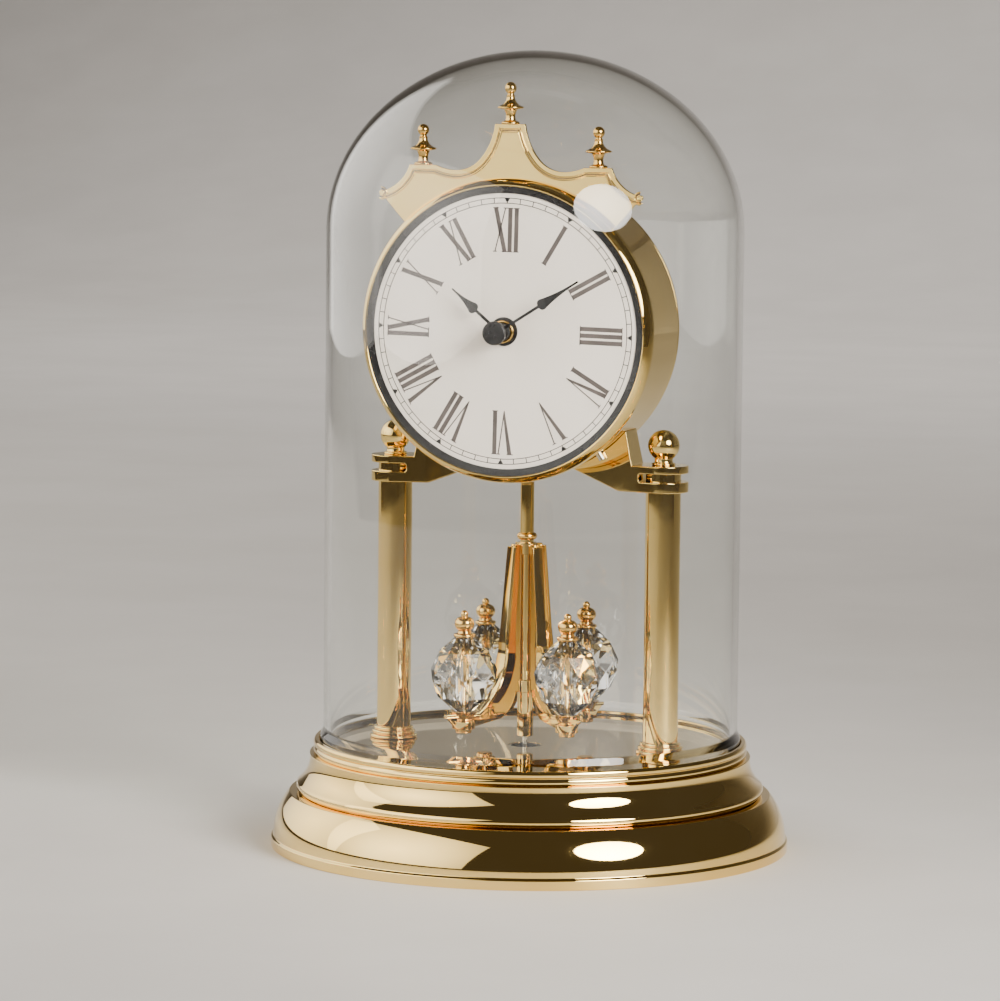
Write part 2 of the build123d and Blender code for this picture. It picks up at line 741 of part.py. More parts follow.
def drive_case():
    """Small black box behind the movement's tongue, open above."""
    low, top = drive_low, drive_top
    back = column_y + 4.9
    shell = block((-11, -drive_forward, low), (11, back, top))
    shell -= block((-9.9, -drive_forward + 1.1, low + 1.2), (9.9, back - 1.1, top + 1))
    shell -= Pos(0, column_y, 0) * rod(arbor_radius + running_gap, low - 1, low + 2)
    return shell


def drive_lid():
    top = drive_top
    lid = block((-9.85, -drive_forward + 1.15, top - 1.0), (9.85, column_y + 3.75, top))
    return lid


def drive_coil():
    """Coil beside the pendulum's magnet."""
    low = drive_low + 1.2
    return Pos(-6.9, column_y, 0) * rod(2.6, low, low + 5.8, 0.9)


def pendulum_arbor():
    """Upright arbor with the drive magnet and the hook that the pendulum hangs on."""
    floor = drive_low + 1.2
    magnet = rod(3.4, floor + 0.3, floor + 3.3)
    ring_z = ring_height()
    arbor = rod(arbor_radius, ring_z + hanger_ring - 0.2, floor + 5.0)
    ring = Pos(0, 0, ring_z) * Rot(90, 0, 0) * Torus(hanger_ring, hanger_wire)
    return Pos(0, column_y, 0) * (magnet + arbor + ring)


def ring_height():
    return head_height - drum_radius + 1.5


def eye_height():
    return ring_height() - 2 * (hanger_ring - hanger_wire) + 0.02


def pendulum_eye():
    """Eye on a plug in the tube's top, linked through the arbor's ring."""
    ring = Pos(0, 0, eye_height()) * Rot(0, 90, 0) * Torus(hanger_ring, hanger_wire)
    top = eye_height() - hanger_ring + 0.2
    plug = rod(tube_bore - 0.02, top - 6, top)
    plug += rod(tube_radius, tube_top(), top)
    return Pos(0, column_y, 0) * (ring + plug)


def tube_top():
    return eye_height() - hanger_ring - 0.6


def pendulum_tube():
    return Pos(0, column_y, 0) * rod(tube_radius, tube_low, tube_top(), tube_bore)


def pendulum_bead():
    """Small beaded collar above the spider."""
    low = plate_height + spider_top + 1.2
    inner = tube_radius + 0.02
    bead = turned((inner, low), (inner + 0.3, low), ((inner + 0.9, low + 1.0), (inner + 0.3, low + 2.0)),
                  (inner, low + 2.0))
    return Pos(0, column_y, 0) * bead


def pendulum_spider():
    """Sleeve and collars on the tube, with four upright wings that sweep out into arms.
    Each arm has a seat for a cup and runs on to a tip."""
    low = plate_height
    inner = tube_radius + 0.02
    sleeve = rod(inner + sleeve_wall, tube_low + 0.2, low + 15.8, inner)
    hub = sleeve + rod(inner + 0.8, low + 15.4, low + 19.0, inner)
    hub += rod(inner + 0.8, low + spider_top - 3.0, low + spider_top + 0.4, inner)
    reach = crystal_orbit
    arm_top = crystal_height - crystal_half_height - 0.6
    ring_low, ring_top = arm_top - 4.4, arm_top - 2.2
    root = inner + 0.5
    tip = reach + arm_overhang
    wing_edges = [
        Line((root, 15.8), (root, spider_top)),
        Line((root, spider_top), (4.6, spider_top)),
        ThreePointArc((4.6, spider_top), (5.4, spider_top - 0.5), (5.7, spider_top - 1.8)),
        Line((5.7, spider_top - 1.8), (8.3, 30.4)),
        ThreePointArc((8.3, 30.4), (10.4, 20.0), (reach - 3.4, arm_top - 0.2)),
        Line((reach - 3.4, arm_top - 0.2), (tip, arm_top - 0.4)),
        Line((tip, arm_top - 0.4), (tip, arm_top - 1.0)),
        Line((tip, arm_top - 1.0), (reach + 2.8, ring_low)),
        Line((reach + 2.8, ring_low), (reach - 3.0, ring_low)),
        Line((reach - 3.0, ring_low), (8.6, 8.4)),
        ThreePointArc((8.6, 8.4), (5.6, 11.4), (4.0, 15.8)),
        Line((4.0, 15.8), (root, 15.8))]
    wing = extrude(Plane.XZ * make_face(Curve() + wing_edges), spider_thickness / 2, both=True)
    spider = hub
    for bearing in orbit_bearings:
        arm = Pos(0, 0, low) * wing
        arm += Pos(reach, 0, low) * rod(cup_stub_radius + 1.0, ring_low, ring_top)
        arm -= Pos(reach, 0, low + crystal_height) * cup_body(seat_gap)
        spider += Rot(0, 0, bearing - 90) * arm
    return Pos(0, column_y, 0) * spider


def at_crystals(shape):
    """One copy of a shape at each crystal's axis."""
    return [Pos(0, column_y, plate_height + crystal_height) * Rot(0, 0, bearing - 90) * Pos(crystal_orbit, 0, 0)
            * shape for bearing in orbit_bearings]


def crystal():
    """Cut-glass ball: flat facets in five bands round a drilled axis."""
    bands = [(-1.0, 0.30), (-0.72, 0.70), (-0.26, 0.985), (0.26, 0.985), (0.72, 0.70), (1.0, 0.30)]
    rings = []
    for k, (height, width) in enumerate(bands):
        ring = RegularPolygon(crystal_radius * width, crystal_facets, rotation=18 * (k % 2))
        rings.append(Pos(0, 0, crystal_half_height * height) * ring)
    ball = loft(rings, ruled=True)
    return ball - rod(crystal_bore, -crystal_half_height - 1, crystal_half_height + 1)


def crystal_rod():
    return rod(crystal_rod_radius, -crystal_half_height - cup_height + 1.0, crystal_half_height + 3.0)


def crystal_cap():
    """Collar, neck, ball and nub on top of a crystal."""
    low = crystal_half_height
    ball = low + 4.1
    radius = 2.8
    neck = 1.5
    rise = sqrt(radius ** 2 - neck ** 2)
    shoulder = ball + sqrt(radius ** 2 - 1.0)
    cap = turned(
        (0, low), (2.9, low), ((3.1, low + 0.6), (2.7, low + 1.2)), (neck, low + 1.4), (neck, ball - rise),
        ((radius, ball), (1.0, shoulder)),
        ((sin(pi / 4), shoulder + cos(pi / 4)), (0, shoulder + 1.0)))
    return cap - rod(crystal_rod_radius, low - 1, low + 3.0)


def cup_body(extra=0.0):
    """Outer form of a cup, or of the seat cut for it when given some extra radius."""
    top = -crystal_half_height
    low = top - cup_height
    stub = cup_stub_radius + extra
    return turned(
        (0, low), (stub - 0.3, low), (stub, low + 0.4), (stub, low + 2.8),
        ((stub + 0.4, low + 4.4), (stub + 1.8, top)), (0, top))


def crystal_cup():
    """Funnel-shaped cup and short stub under a crystal, set in the spider's arm."""
    low = -crystal_half_height - cup_height
    return cup_body() - rod(crystal_rod_radius, low + 1.0, low + cup_height + 1)


def guide_pin():
    """Pin below the tube that runs free in the guide cup."""
    low = plate_height - pin_depth
    pin = rod(pin_radius, low, tube_low) + rod(tube_bore - 0.02, tube_low, tube_low + 5)
    return Pos(0, column_y, 0) * pin


# ================= glass =================

def quarter_ellipse(radius, spring, top):
    """Quarter of an ellipse, from the side of the dome to the middle of its top."""
    pull = 0.5523
    return Bezier((radius, spring), (radius, spring + pull * (top - spring)), (pull * radius, top), (0, top))


def glass_dome():
    """Blown dome with a slightly flared foot."""
    spring = dome_top - dome_cap_rise
    low = seat_floor
    flare_top = low + dome_foot_height
    outer, inner = dome_outer, dome_inner
    edges = [
        Line((inner, low), (foot_radius - 0.3, low)),
        ThreePointArc((foot_radius - 0.3, low), (foot_radius - 0.09, low + 0.09), (foot_radius, low + 0.3)),
        Line((foot_radius, low + 0.3), (foot_radius, flare_top)),
        ThreePointArc((foot_radius, flare_top), (outer + 0.2, flare_top + 1.0), (outer, flare_top + 2.4)),
        Line((outer, flare_top + 2.4), (outer, spring)),
        quarter_ellipse(outer, spring, dome_top),
        Line((0, dome_top), (0, dome_inner_top)),
        quarter_ellipse(inner, spring, dome_inner_top),
        Line((inner, spring), (inner, low))]
    return revolve(make_face(Plane.XZ * (Curve() + edges)), Axis.Z)


# ================= write every node =================

save("base_shell", base_shell())
save("dome_seat_ring", dome_seat_ring())
save("base_plate", base_plate())
save("bottom_board", bottom_board())
save("guide_cup", guide_cup())

for side_name, side in (("left", -1), ("right", 1)):
    save(f"column_{side_name}", on_column(side, column_tube()))
    save(f"column_foot_{side_name}", on_column(side, column_foot()))
    save(f"column_finial_{side_name}", on_column(side, column_finial()))
    save(f"bracket_{side_name}", bracket(side))
save("tie_rods", group(on_column(side, tie_rod()) for side in (-1, 1)))
save("column_nuts", group(on_column(side, column_nut()) for side in (-1, 1)))
save("column_washers", group(on_column(side, column_washer()) for side in (-1, 1)))
right_screws = [on_head(place * bracket_screw()) for place in bracket_screw_places()]
left_screws = [mirror(screw, Plane.YZ) for screw in right_screws]
save("bracket_screws", group(right_screws + left_screws))

save("drum_case", drum_case())
save("rear_cover", rear_cover())
save("bezel", bezel())
save("chapter_ring", chapter_ring())
save("dial", dial())
save("crown_plate", crown_plate())
save("crown_screw", crown_screw())
finial_y = -(bezel_back - crown_thickness / 2)
save("crown_finial_middle", Pos(0, finial_y, crown_plateau_height) * crown_finial())
for side_name, side in (("left", -1), ("right", 1)):
    finial_x = side * (drum_radius - 15.95)
    save(f"crown_finial_{side_name}", Pos(finial_x, finial_y, crown_flat_height) * crown_finial())

save("movement_case", movement_case())
save("movement_cover", movement_cover())
save("battery", battery())
save("battery_contacts", group(battery_contact(side) for side in (-1, 1)))
save("step_coil", step_coil())
save("stator", stator())
save("circuit_board", circuit_board())
save("centre_wheel", centre_wheel())
save("motion_wheel", motion_wheel())
save("hour_wheel", hour_wheel())
save("setting_knob", setting_knob())
save("stem_washer", stem_washer())
save("stem_nut", stem_nut())
save("hour_hand", hour_hand())
save("minute_hand", minute_hand())
save("hand_cap", hand_cap())

save("drive_case", drive_case())
save("drive_lid", drive_lid())
save("drive_coil", drive_coil())
save("pendulum_arbor", pendulum_arbor())
save("pendulum_eye", pendulum_eye())
save("pendulum_tube", pendulum_tube())
save("pendulum_bead", pendulum_bead())
save("pendulum_spider", pendulum_spider())
for number, place in enumerate(at_crystals(crystal()), start=1):
    save(f"crystal_{number}", place)
save("crystal_rods", group(at_crystals(crystal_rod())))
save("crystal_caps", group(at_crystals(crystal_cap())))
save("crystal_cups", group(at_crystals(crystal_cup())))
save("guide_pin", guide_pin())
save("glass_dome", glass_dome())
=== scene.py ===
# %% [markdown]
# # A domed clock with a crystal pendulum
# This lesson dresses a finished engineering model. The CAD model already fixes every size and every joint,
# so each piece here is made at the place the frame gives, and rides on the body that carries it. Most of
# this clock is turned, pressed or blown, so most pieces start as a thin outline that is spun, extruded or
# bridged.

# %% Load the frame
from math import asin, atan2, cos, hypot, pi, radians, sin, sqrt

import bmesh
import bpy
from mathutils import Matrix, Vector


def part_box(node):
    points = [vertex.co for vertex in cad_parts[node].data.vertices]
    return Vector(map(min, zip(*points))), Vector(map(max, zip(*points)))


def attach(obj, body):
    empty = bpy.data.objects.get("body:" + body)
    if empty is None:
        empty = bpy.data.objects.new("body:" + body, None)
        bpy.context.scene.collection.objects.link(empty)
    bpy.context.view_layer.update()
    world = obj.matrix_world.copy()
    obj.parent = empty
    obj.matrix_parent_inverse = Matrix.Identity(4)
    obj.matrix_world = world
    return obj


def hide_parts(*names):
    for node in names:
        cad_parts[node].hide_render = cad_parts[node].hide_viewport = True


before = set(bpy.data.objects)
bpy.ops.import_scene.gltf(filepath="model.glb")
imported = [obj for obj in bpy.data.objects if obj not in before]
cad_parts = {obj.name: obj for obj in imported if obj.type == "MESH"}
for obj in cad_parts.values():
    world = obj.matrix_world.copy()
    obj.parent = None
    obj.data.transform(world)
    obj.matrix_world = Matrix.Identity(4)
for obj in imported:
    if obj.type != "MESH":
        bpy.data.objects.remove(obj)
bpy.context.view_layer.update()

MM = 0.001

# %% [markdown]
# Everything is placed from the CAD nodes' own boxes. Outlines are easier to read in millimetres, so the
# boxes are read in millimetres too, and a piece is scaled to metres once, when its mesh is finished.

# %% Read the sizes that everything hangs on
def span(node):
    """Lowest and highest corner of a CAD node, in millimetres."""
    low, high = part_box(node)
    return low / MM, high / MM


dial_low, dial_high = span("dial")
head_height = (dial_low.z + dial_high.z) / 2
dial_face = -dial_low.y
drum_low, drum_high = span("drum_case")
drum_radius = drum_high.x
drum_front, drum_rear = -drum_low.y, -drum_high.y
tube_low, tube_high = span("column_right")
column_x = (tube_low.x + tube_high.x) / 2
column_y = (tube_low.y + tube_high.y) / 2
column_radius = (tube_high.x - tube_low.x) / 2
plate_top = span("base_plate")[1].z
base_radius = span("base_shell")[1].x
print(f"dial centre {head_height:.2f}, column at {column_x:.2f}, base radius {base_radius:.2f}")

# %% [markdown]
# ## Outlines
# A turned piece is known by half its section, and a pressed one by its outline. Both are straight runs and
# arcs, so one helper traces them: a step is either an end point, or the middle and the end of an arc.

# %% Trace an outline
def arc(start, middle, end, count=10):
    """Points on the arc through three points, leaving out its start."""
    (ax, ay), (bx, by), (cx, cy) = start, middle, end
    area = 2 * (ax * (by - cy) + bx * (cy - ay) + cx * (ay - by))
    if abs(area) < 1e-9:
        return [middle, end]
    a2, b2, c2 = ax * ax + ay * ay, bx * bx + by * by, cx * cx + cy * cy
    ux = (a2 * (by - cy) + b2 * (cy - ay) + c2 * (ay - by)) / area
    uy = (a2 * (cx - bx) + b2 * (ax - cx) + c2 * (bx - ax)) / area
    radius = hypot(ax - ux, ay - uy)
    first = atan2(ay - uy, ax - ux)
    middle_turn = (atan2(by - uy, bx - ux) - first) % (2 * pi)
    turn = (atan2(cy - uy, cx - ux) - first) % (2 * pi)
    if middle_turn > turn:
        turn -= 2 * pi
    return [(ux + radius * cos(first + turn * k / count), uy + radius * sin(first + turn * k / count))
            for k in range(1, count + 1)]


def trace(start, *steps, count=10):
    points = [start]
    for step in steps:
        if isinstance(step[0], tuple):
            points += arc(points[-1], *step, count=count)
        else:
            points.append(step)
    return points


print("a quarter circle in", len(trace((1, 0), ((sqrt(0.5), sqrt(0.5)), (0, 1)))), "points")

# %% [markdown]
# ## Three ways to make a solid
# `lathe` spins half a section about the upright axis, as the maker's lathe or spinning chuck does.
# `pressed` gives a flat outline its thickness, as a blanking press does. Other ways would be a cylinder
# that is scaled and cut, or a modifier, but the outline is what the maker's drawing holds, so it is kept.
# `ease` rounds every crisp edge a little, because a polished edge is never sharp, and the thin bright line
# it catches is what makes metal look like metal.

# %% Spin, press and ease
def wire(points, closed=True):
    bm = bmesh.new()
    verts = [bm.verts.new((x, 0, z)) for x, z in points]
    pairs = zip(verts, verts[1:] + verts[:1]) if closed else zip(verts, verts[1:])
    for a, b in pairs:
        bm.edges.new((a, b))
    return bm


def tidy(bm):
    """Merges doubled points, then turns every face outwards."""
    bmesh.ops.remove_doubles(bm, verts=bm.verts[:], dist=1e-4)
    bmesh.ops.dissolve_degenerate(bm, dist=1e-5, edges=bm.edges[:])
    bmesh.ops.recalc_face_normals(bm, faces=bm.faces[:])
    return bm


def ease(bm, width, segments=3, sharp=30):
    edges = [e for e in bm.edges if e.is_manifold and e.calc_face_angle(0) > radians(sharp)]
    bmesh.ops.bevel(bm, geom=edges, offset=width, offset_type="OFFSET", segments=segments, profile=0.5,
                    affect="EDGES", material=-1, clamp_overlap=True)
    return bm


def lathe(points, steps=128, eased=0.15, closed=True):
    bm = wire(points, closed)
    bmesh.ops.spin(bm, geom=bm.verts[:] + bm.edges[:], cent=(0, 0, 0), axis=(0, 0, 1), dvec=(0, 0, 0),
                   angle=2 * pi, steps=steps, use_merge=True, use_duplicate=False)
    tidy(bm)
    return ease(bm, eased) if eased else bm


def tube_section(inner, outer, low, high):
    return [(inner, low), (outer, low), (outer, high), (inner, high)]


def new_verts(grown):
    return [v for v in grown["geom"] if isinstance(v, bmesh.types.BMVert)]


def thickened(corners, rise):
    """A flat face on these corners, extruded along one direction."""
    bm = bmesh.new()
    face = bm.faces.new([bm.verts.new(corner) for corner in corners])
    grown = bmesh.ops.extrude_face_region(bm, geom=[face])
    bmesh.ops.translate(bm, verts=new_verts(grown), vec=rise)
    return tidy(bm)


def pressed(points, thickness, eased=0.12):
    """Outline in X and Z, given its thickness towards -Y."""
    bm = thickened([(x, 0, z) for x, z in points], (0, -thickness, 0))
    return ease(bm, eased) if eased else bm


def shift(x=0, y=0, z=0):
    return Matrix.Translation((x, y, z))


def moved(bm, *matrices):
    for matrix in matrices:
        bmesh.ops.transform(bm, matrix=matrix, verts=bm.verts[:])
    return bm


def joined(parts):
    """One bmesh out of several, which are used up."""
    whole = bmesh.new()
    for part in parts:
        mesh = bpy.data.meshes.new("part")
        part.to_mesh(mesh)
        part.free()
        whole.from_mesh(mesh)
        bpy.data.meshes.remove(mesh)
    return whole


def flipped(bm):
    """Mirror image across the clock's middle plane."""
    bmesh.ops.scale(bm, vec=(-1, 1, 1), verts=bm.verts[:])
    bmesh.ops.recalc_face_normals(bm, faces=bm.faces[:])
    return bm


TO_HEAD = shift(z=head_height) @ Matrix.Rotation(pi / 2, 4, "X")
test = lathe(tube_section(0, 5, 0, 2), steps=32)
print("a test disc has", len(test.faces), "faces and is closed:", all(e.is_manifold for e in test.edges))
test.free()

# %% [markdown]
# ## From a mesh to a piece
# A finished mesh is scaled to metres and gets its finish, and the object itself stays at the origin,
# unturned. Weighted normals keep the flats flat and the small bevels round, so a mirror surface reflects
# without waves. The frame already
# holds materials with the finishes' names, so Blender adds a number such as .001 to ours.

# %% Make a piece
def piece(name, bm, body, finish, replaces=(), slot=None, smooth=True):
    bmesh.ops.scale(bm, vec=(MM, MM, MM), verts=bm.verts[:])
    mesh = bpy.data.meshes.new(name)
    bm.to_mesh(mesh)
    bm.free()
    mesh.materials.append(finish)
    thing = bpy.data.objects.new(name, mesh)
    bpy.context.scene.collection.objects.link(thing)
    if smooth:
        mesh.shade_smooth()
        weigh = thing.modifiers.new("even_shading", "WEIGHTED_NORMAL")
        weigh.mode = "FACE_AREA"
        weigh.weight = 80
    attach(thing, body)
    if replaces:
        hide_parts(*replaces)
    print(name, "-", len(mesh.polygons), "faces")
    return thing


# %% [markdown]
# ## Finishes
# Each finish is one node material on object coordinates, so a pattern has a real size in metres and stays
# put on its piece. `Finish` keeps the wiring short: it lays noise, waves and ramps between the coordinates
# and the one shader.

# %% Wire a finish
class Finish:
    def __init__(self, name):
        self.material = bpy.data.materials.new(name)
        self.material.use_nodes = True
        self.nodes, self.links = self.material.node_tree.nodes, self.material.node_tree.links
        self.shader = self.nodes["Principled BSDF"]
        self.place = self.nodes.new("ShaderNodeTexCoord").outputs["Object"]

    def set(self, **values):
        for name, value in values.items():
            self.shader.inputs[name.replace("_", " ")].default_value = value

    def noise(self, size, detail=3.0, rough=0.55, stretch=(1, 1, 1)):
        """Noise whose lumps are about that many millimetres across."""
        scale = self.nodes.new("ShaderNodeMapping")
        scale.inputs["Scale"].default_value = stretch
        self.links.new(self.place, scale.inputs["Vector"])
        node = self.nodes.new("ShaderNodeTexNoise")
        node.inputs["Scale"].default_value = 1 / (size * MM)
        node.inputs["Detail"].default_value = detail
        node.inputs["Roughness"].default_value = rough
        self.links.new(scale.outputs[0], node.inputs["Vector"])
        return node.outputs["Fac"]

    def wave(self, size, axis, distort):
        node = self.nodes.new("ShaderNodeTexWave")
        node.bands_direction = axis
        node.inputs["Scale"].default_value = 1 / (size * MM) / 3.2
        node.inputs["Distortion"].default_value = distort
        self.links.new(self.place, node.inputs["Vector"])
        return node.outputs["Fac"]

    def spread(self, source, low, high, first=0.3, last=0.7):
        """Stretches the source's middle range over new values."""
        node = self.nodes.new("ShaderNodeMapRange")
        for key, value in (("From Min", first), ("From Max", last), ("To Min", low), ("To Max", high)):
            node.inputs[key].default_value = value
        self.links.new(source, node.inputs["Value"])
        return node.outputs["Result"]

    def blend(self, source, first, second, start=0.35, stop=0.65):
        ramp = self.nodes.new("ShaderNodeValToRGB")
        ramp.color_ramp.elements[0].position, ramp.color_ramp.elements[1].position = start, stop
        ramp.color_ramp.elements[0].color = (*first, 1)
        ramp.color_ramp.elements[1].color = (*second, 1)
        self.links.new(source, ramp.inputs["Fac"])
        return ramp.outputs["Color"]

    def drive(self, source, name):
        self.links.new(source, self.shader.inputs[name])

    def bump(self, source, height, strength=1.0, under=None):
        """Height in millimetres. Returns the normal, so that one bump can lie on another."""
        node = self.nodes.new("ShaderNodeBump")
        node.inputs["Distance"].default_value = height * MM
        node.inputs["Strength"].default_value = strength
        self.links.new(source, node.inputs["Height"])
        if under is not None:
            self.links.new(under, node.inputs["Normal"])
        self.links.new(node.outputs["Normal"], self.shader.inputs["Normal"])
        return node.outputs["Normal"]


print("finishes are wired with the Finish class")

# %% [markdown]
# **Plated brass.** The base, drum, columns and crown are pressed steel or brass with a bright lacquered
# plating. It is a mirror, but not a perfect one: the polishing leaves very slow waves in the surface, a
# faint haze that comes and goes, and hairlines. Slow noise in the colour, finer noise in the roughness and
# a very low bump give all three.

# %% Mix the metals
def bright_metal(name, first, second, low, high, wave_height=0.004, hair=0.0):
    f = Finish(name)
    f.set(Metallic=1.0)
    f.drive(f.blend(f.noise(26, 2), first, second), "Base Color")
    haze = f.noise(7, 5, 0.7)
    f.drive(f.spread(haze, low, high, 0.35, 0.75), "Roughness")
    normal = f.bump(f.noise(18, 1.5), wave_height)
    if hair:
        f.bump(f.noise(0.5, 2, 0.6, (1, 1, 14)), hair, 0.5, normal)
    return f.material


plated_brass = bright_metal("plated_brass", (0.95, 0.70, 0.26), (0.91, 0.64, 0.21), 0.025, 0.06)
turned_brass = bright_metal("turned_brass", (0.88, 0.58, 0.18), (0.82, 0.50, 0.14), 0.09, 0.17, 0.003, 0.002)
mirror_plate = bright_metal("mirror_plate", (0.80, 0.62, 0.30), (0.76, 0.57, 0.26), 0.02, 0.05, 0.003)
bright_steel = bright_metal("bright_steel", (0.66, 0.65, 0.62), (0.58, 0.57, 0.55), 0.22, 0.36, 0.003, 0.004)
print("four metals")

# %% [markdown]
# **Glass.** Clear glass is almost nothing to look at: what shows is the edge, the reflections and a slight
# tint. The shader bends and mirrors light as glass does. Lamps would be blocked by it, so a ray towards a
# lamp passes through a plain transparent shader instead, which keeps the dial lit.

# %% Mix the glasses
def clear_glass(name, tint, ior, ripple):
    f = Finish(name)
    f.set(Roughness=0.0, IOR=ior)
    f.shader.inputs["Transmission Weight"].default_value = 1.0
    f.drive(f.blend(f.noise(60, 1), tint, tuple(min(1.0, t * 1.01) for t in tint)), "Base Color")
    f.bump(f.noise(30, 1), ripple)
    path = f.nodes.new("ShaderNodeLightPath")
    through = f.nodes.new("ShaderNodeBsdfTransparent")
    through.inputs["Color"].default_value = (*tint, 1)
    choose = f.nodes.new("ShaderNodeMixShader")
    f.links.new(path.outputs["Is Shadow Ray"], choose.inputs["Fac"])
    f.links.new(f.shader.outputs["BSDF"], choose.inputs[1])
    f.links.new(through.outputs["BSDF"], choose.inputs[2])
    f.links.new(choose.outputs["Shader"], f.nodes["Material Output"].inputs["Surface"])
    return f.material


dome_glass = clear_glass("dome_glass", (0.975, 0.985, 0.97), 1.45, 0.01)
cut_crystal = clear_glass("cut_crystal", (0.985, 0.985, 0.985), 1.56, 0.001)
print("two glasses")

# %% [markdown]
# ** Paint, print, lacquer and plastics.** The dial is a stoved ivory paint with a printed scale. The hands
# and the ring round the dial are gloss black, and a line of painted shade in near-black brown marks the
# groove along the crown. The hidden parts are moulded plastic, felt, winding wire and a plain cell sleeve,
# each with the grain that such a thing has; the grooves between the wire's turns are darkened with painted
# shade.

# %% Mix the rest
def coated(name, first, second, patch, low, high, grain=0.3, height=0.002, **values):
    f = Finish(name)
    f.set(**values)
    f.drive(f.blend(f.noise(patch, 3), first, second), "Base Color")
    f.drive(f.spread(f.noise(patch * 0.3, 4), low, high), "Roughness")
    f.bump(f.noise(grain, 3, 0.6), height)
    return f.material


dial_ivory = coated("dial_ivory", (0.66, 0.59, 0.53), (0.64, 0.565, 0.505), 22, 0.36, 0.48, 0.35, 0.002)
dial_print = coated("dial_print", (0.060, 0.048, 0.045), (0.085, 0.068, 0.063), 3, 0.40, 0.55)
track_print = coated("track_print", (0.012, 0.011, 0.011), (0.020, 0.018, 0.017), 3, 0.40, 0.55)
# Painted shade: a near-black brown for the shaded groove between the crown's beads; the brass there is no
# darker.
painted_groove_shade = coated("painted_groove_shade", (0.060, 0.032, 0.012), (0.110, 0.060, 0.022), 3, 0.25, 0.40, 0.6)
black_lacquer = coated("black_lacquer", (0.008, 0.008, 0.009), (0.016, 0.015, 0.016), 6, 0.14, 0.24, 1.2)
black_plastic = coated("black_plastic", (0.016, 0.016, 0.018), (0.028, 0.028, 0.030), 5, 0.42, 0.58,
                       0.25, 0.02)
natural_nylon = coated("natural_nylon", (0.78, 0.76, 0.70), (0.70, 0.68, 0.61), 4, 0.40, 0.55, 0.3, 0.01)
cell_jacket = coated("cell_jacket", (0.05, 0.055, 0.065), (0.075, 0.08, 0.09), 9, 0.26, 0.38, 0.6, 0.004)
circuit_green = coated("circuit_green", (0.010, 0.10, 0.045), (0.018, 0.15, 0.07), 2, 0.28, 0.42, 0.5, 0.01)
bottom_felt = coated("bottom_felt", (0.010, 0.045, 0.026), (0.022, 0.085, 0.050), 1.2, 0.85, 0.98, 0.35, 0.25,
                     Sheen_Weight=0.4)


def winding():
    """Fine enamelled wire, laid turn by turn, with painted shade in the grooves between turns."""
    f = Finish("winding_wire")
    f.set(Metallic=0.85)
    turn_ridges_and_shade = f.wave(0.25, "Z", 0.3)
    # Painted shade: the colour falls to dark brown where the wave is low, in the grooves between turns; the
    # light end is the copper's own colour.
    f.drive(f.blend(turn_ridges_and_shade, (0.30, 0.10, 0.035), (0.72, 0.34, 0.15), 0.2, 0.8), "Base Color")
    f.drive(f.spread(f.noise(1.5, 3), 0.28, 0.42), "Roughness")
    f.bump(turn_ridges_and_shade, 0.05)
    return f.material


winding_wire = winding()
print("eleven more finishes")

# %% [markdown]
# ## The base
# The base is one spun shell in two tiers: a rolled rim with a fine step, a swelling lower tier with a crisp
# arris, a narrow shelf, and a second swelling that sweeps up in a cove. A lathe profile is the right tool.
# The crisp edges are eased by only a quarter of a millimetre, which gives each its bright thread of light.

# %% Spin the base shell
rim = base_radius
shelf, shoulder = 15.8, 27.0
wall = 1.2
ledge = rim - 16.0
shell = lathe(trace(
    (rim, 0), (rim, 2.8), (rim - 0.7, 3.2), (rim - 0.7, 4.2), ((rim - 1.8, 9.8), (rim - 5.3, shelf)),
    (rim - 8.8, shelf), ((rim - 7.35, shelf + 1.3), (rim - 7.7, shelf + 2.8)),
    ((rim - 10.3, shoulder - 5.0), (rim - 11.1, shoulder)), (ledge, shoulder), (ledge, shoulder - wall),
    (rim - 11.1 - wall, shoulder - wall), ((rim - 10.3 - wall, shoulder - 5.6), (rim - 9.5, shelf + 2.4)),
    (rim - 8.8 - wall, shelf), (rim - 8.8 - wall, shelf - wall), (rim - 5.3 - wall, shelf - wall),
    ((rim - 1.8 - wall, 8.8), (rim - 0.7 - wall, 3.8)), (rim - 0.7 - wall, 0), count=16),
    steps=192, eased=0.22)
piece("base_shell_spun", shell, "root", plated_brass, ["base_shell"])

# %% [markdown]
# The ring that the dome stands in is a second turned piece: a double bead outside, and a rebate inside
# where the foot of the glass sits.

# %% Turn the seat ring
seat_low, seat_high = span("dome_seat_ring")
glass_low, glass_high = span("glass_dome")
outer = seat_high.x
quarter = (seat_high.z - seat_low.z) / 4
middle = seat_low.z + 2 * quarter
inner = glass_high.x + 0.3
plate_edge = span("base_plate")[1].x + 0.05
ring = lathe(trace(
    (plate_edge, seat_low.z), (outer - 0.5, seat_low.z), ((outer, middle - quarter), (outer - 0.5, middle)),
    ((outer, middle + quarter), (outer - 0.5, seat_high.z)), (inner, seat_high.z), (inner, glass_low.z),
    (plate_edge, glass_low.z), count=8), steps=192, eased=0.12)
piece("dome_seat_ring_turned", ring, "root", plated_brass, ["dome_seat_ring"])

# %% [markdown]
# The floor inside the dome is a polished disc with one hole, off its middle, for the pendulum's guide pin.
# Two circles bridged together give the flat with its hole, and an extrusion gives the edge.

# %% Cut the mirror plate
def holed_disc(radius, low, high, hole, hole_y):
    bm = bmesh.new()
    rims = []
    for size, y in ((radius, 0), (hole, hole_y)):
        made = bmesh.ops.create_circle(bm, cap_ends=False, segments=160, radius=size)
        bmesh.ops.translate(bm, verts=made["verts"], vec=(0, y, high))
        rims += [e for v in made["verts"] for e in v.link_edges]
    bmesh.ops.bridge_loops(bm, edges=list(set(rims)))
    grown = bmesh.ops.extrude_face_region(bm, geom=bm.faces[:])
    bmesh.ops.translate(bm, verts=new_verts(grown), vec=(0, 0, low - high))
    return ease(tidy(bm), 0.15)


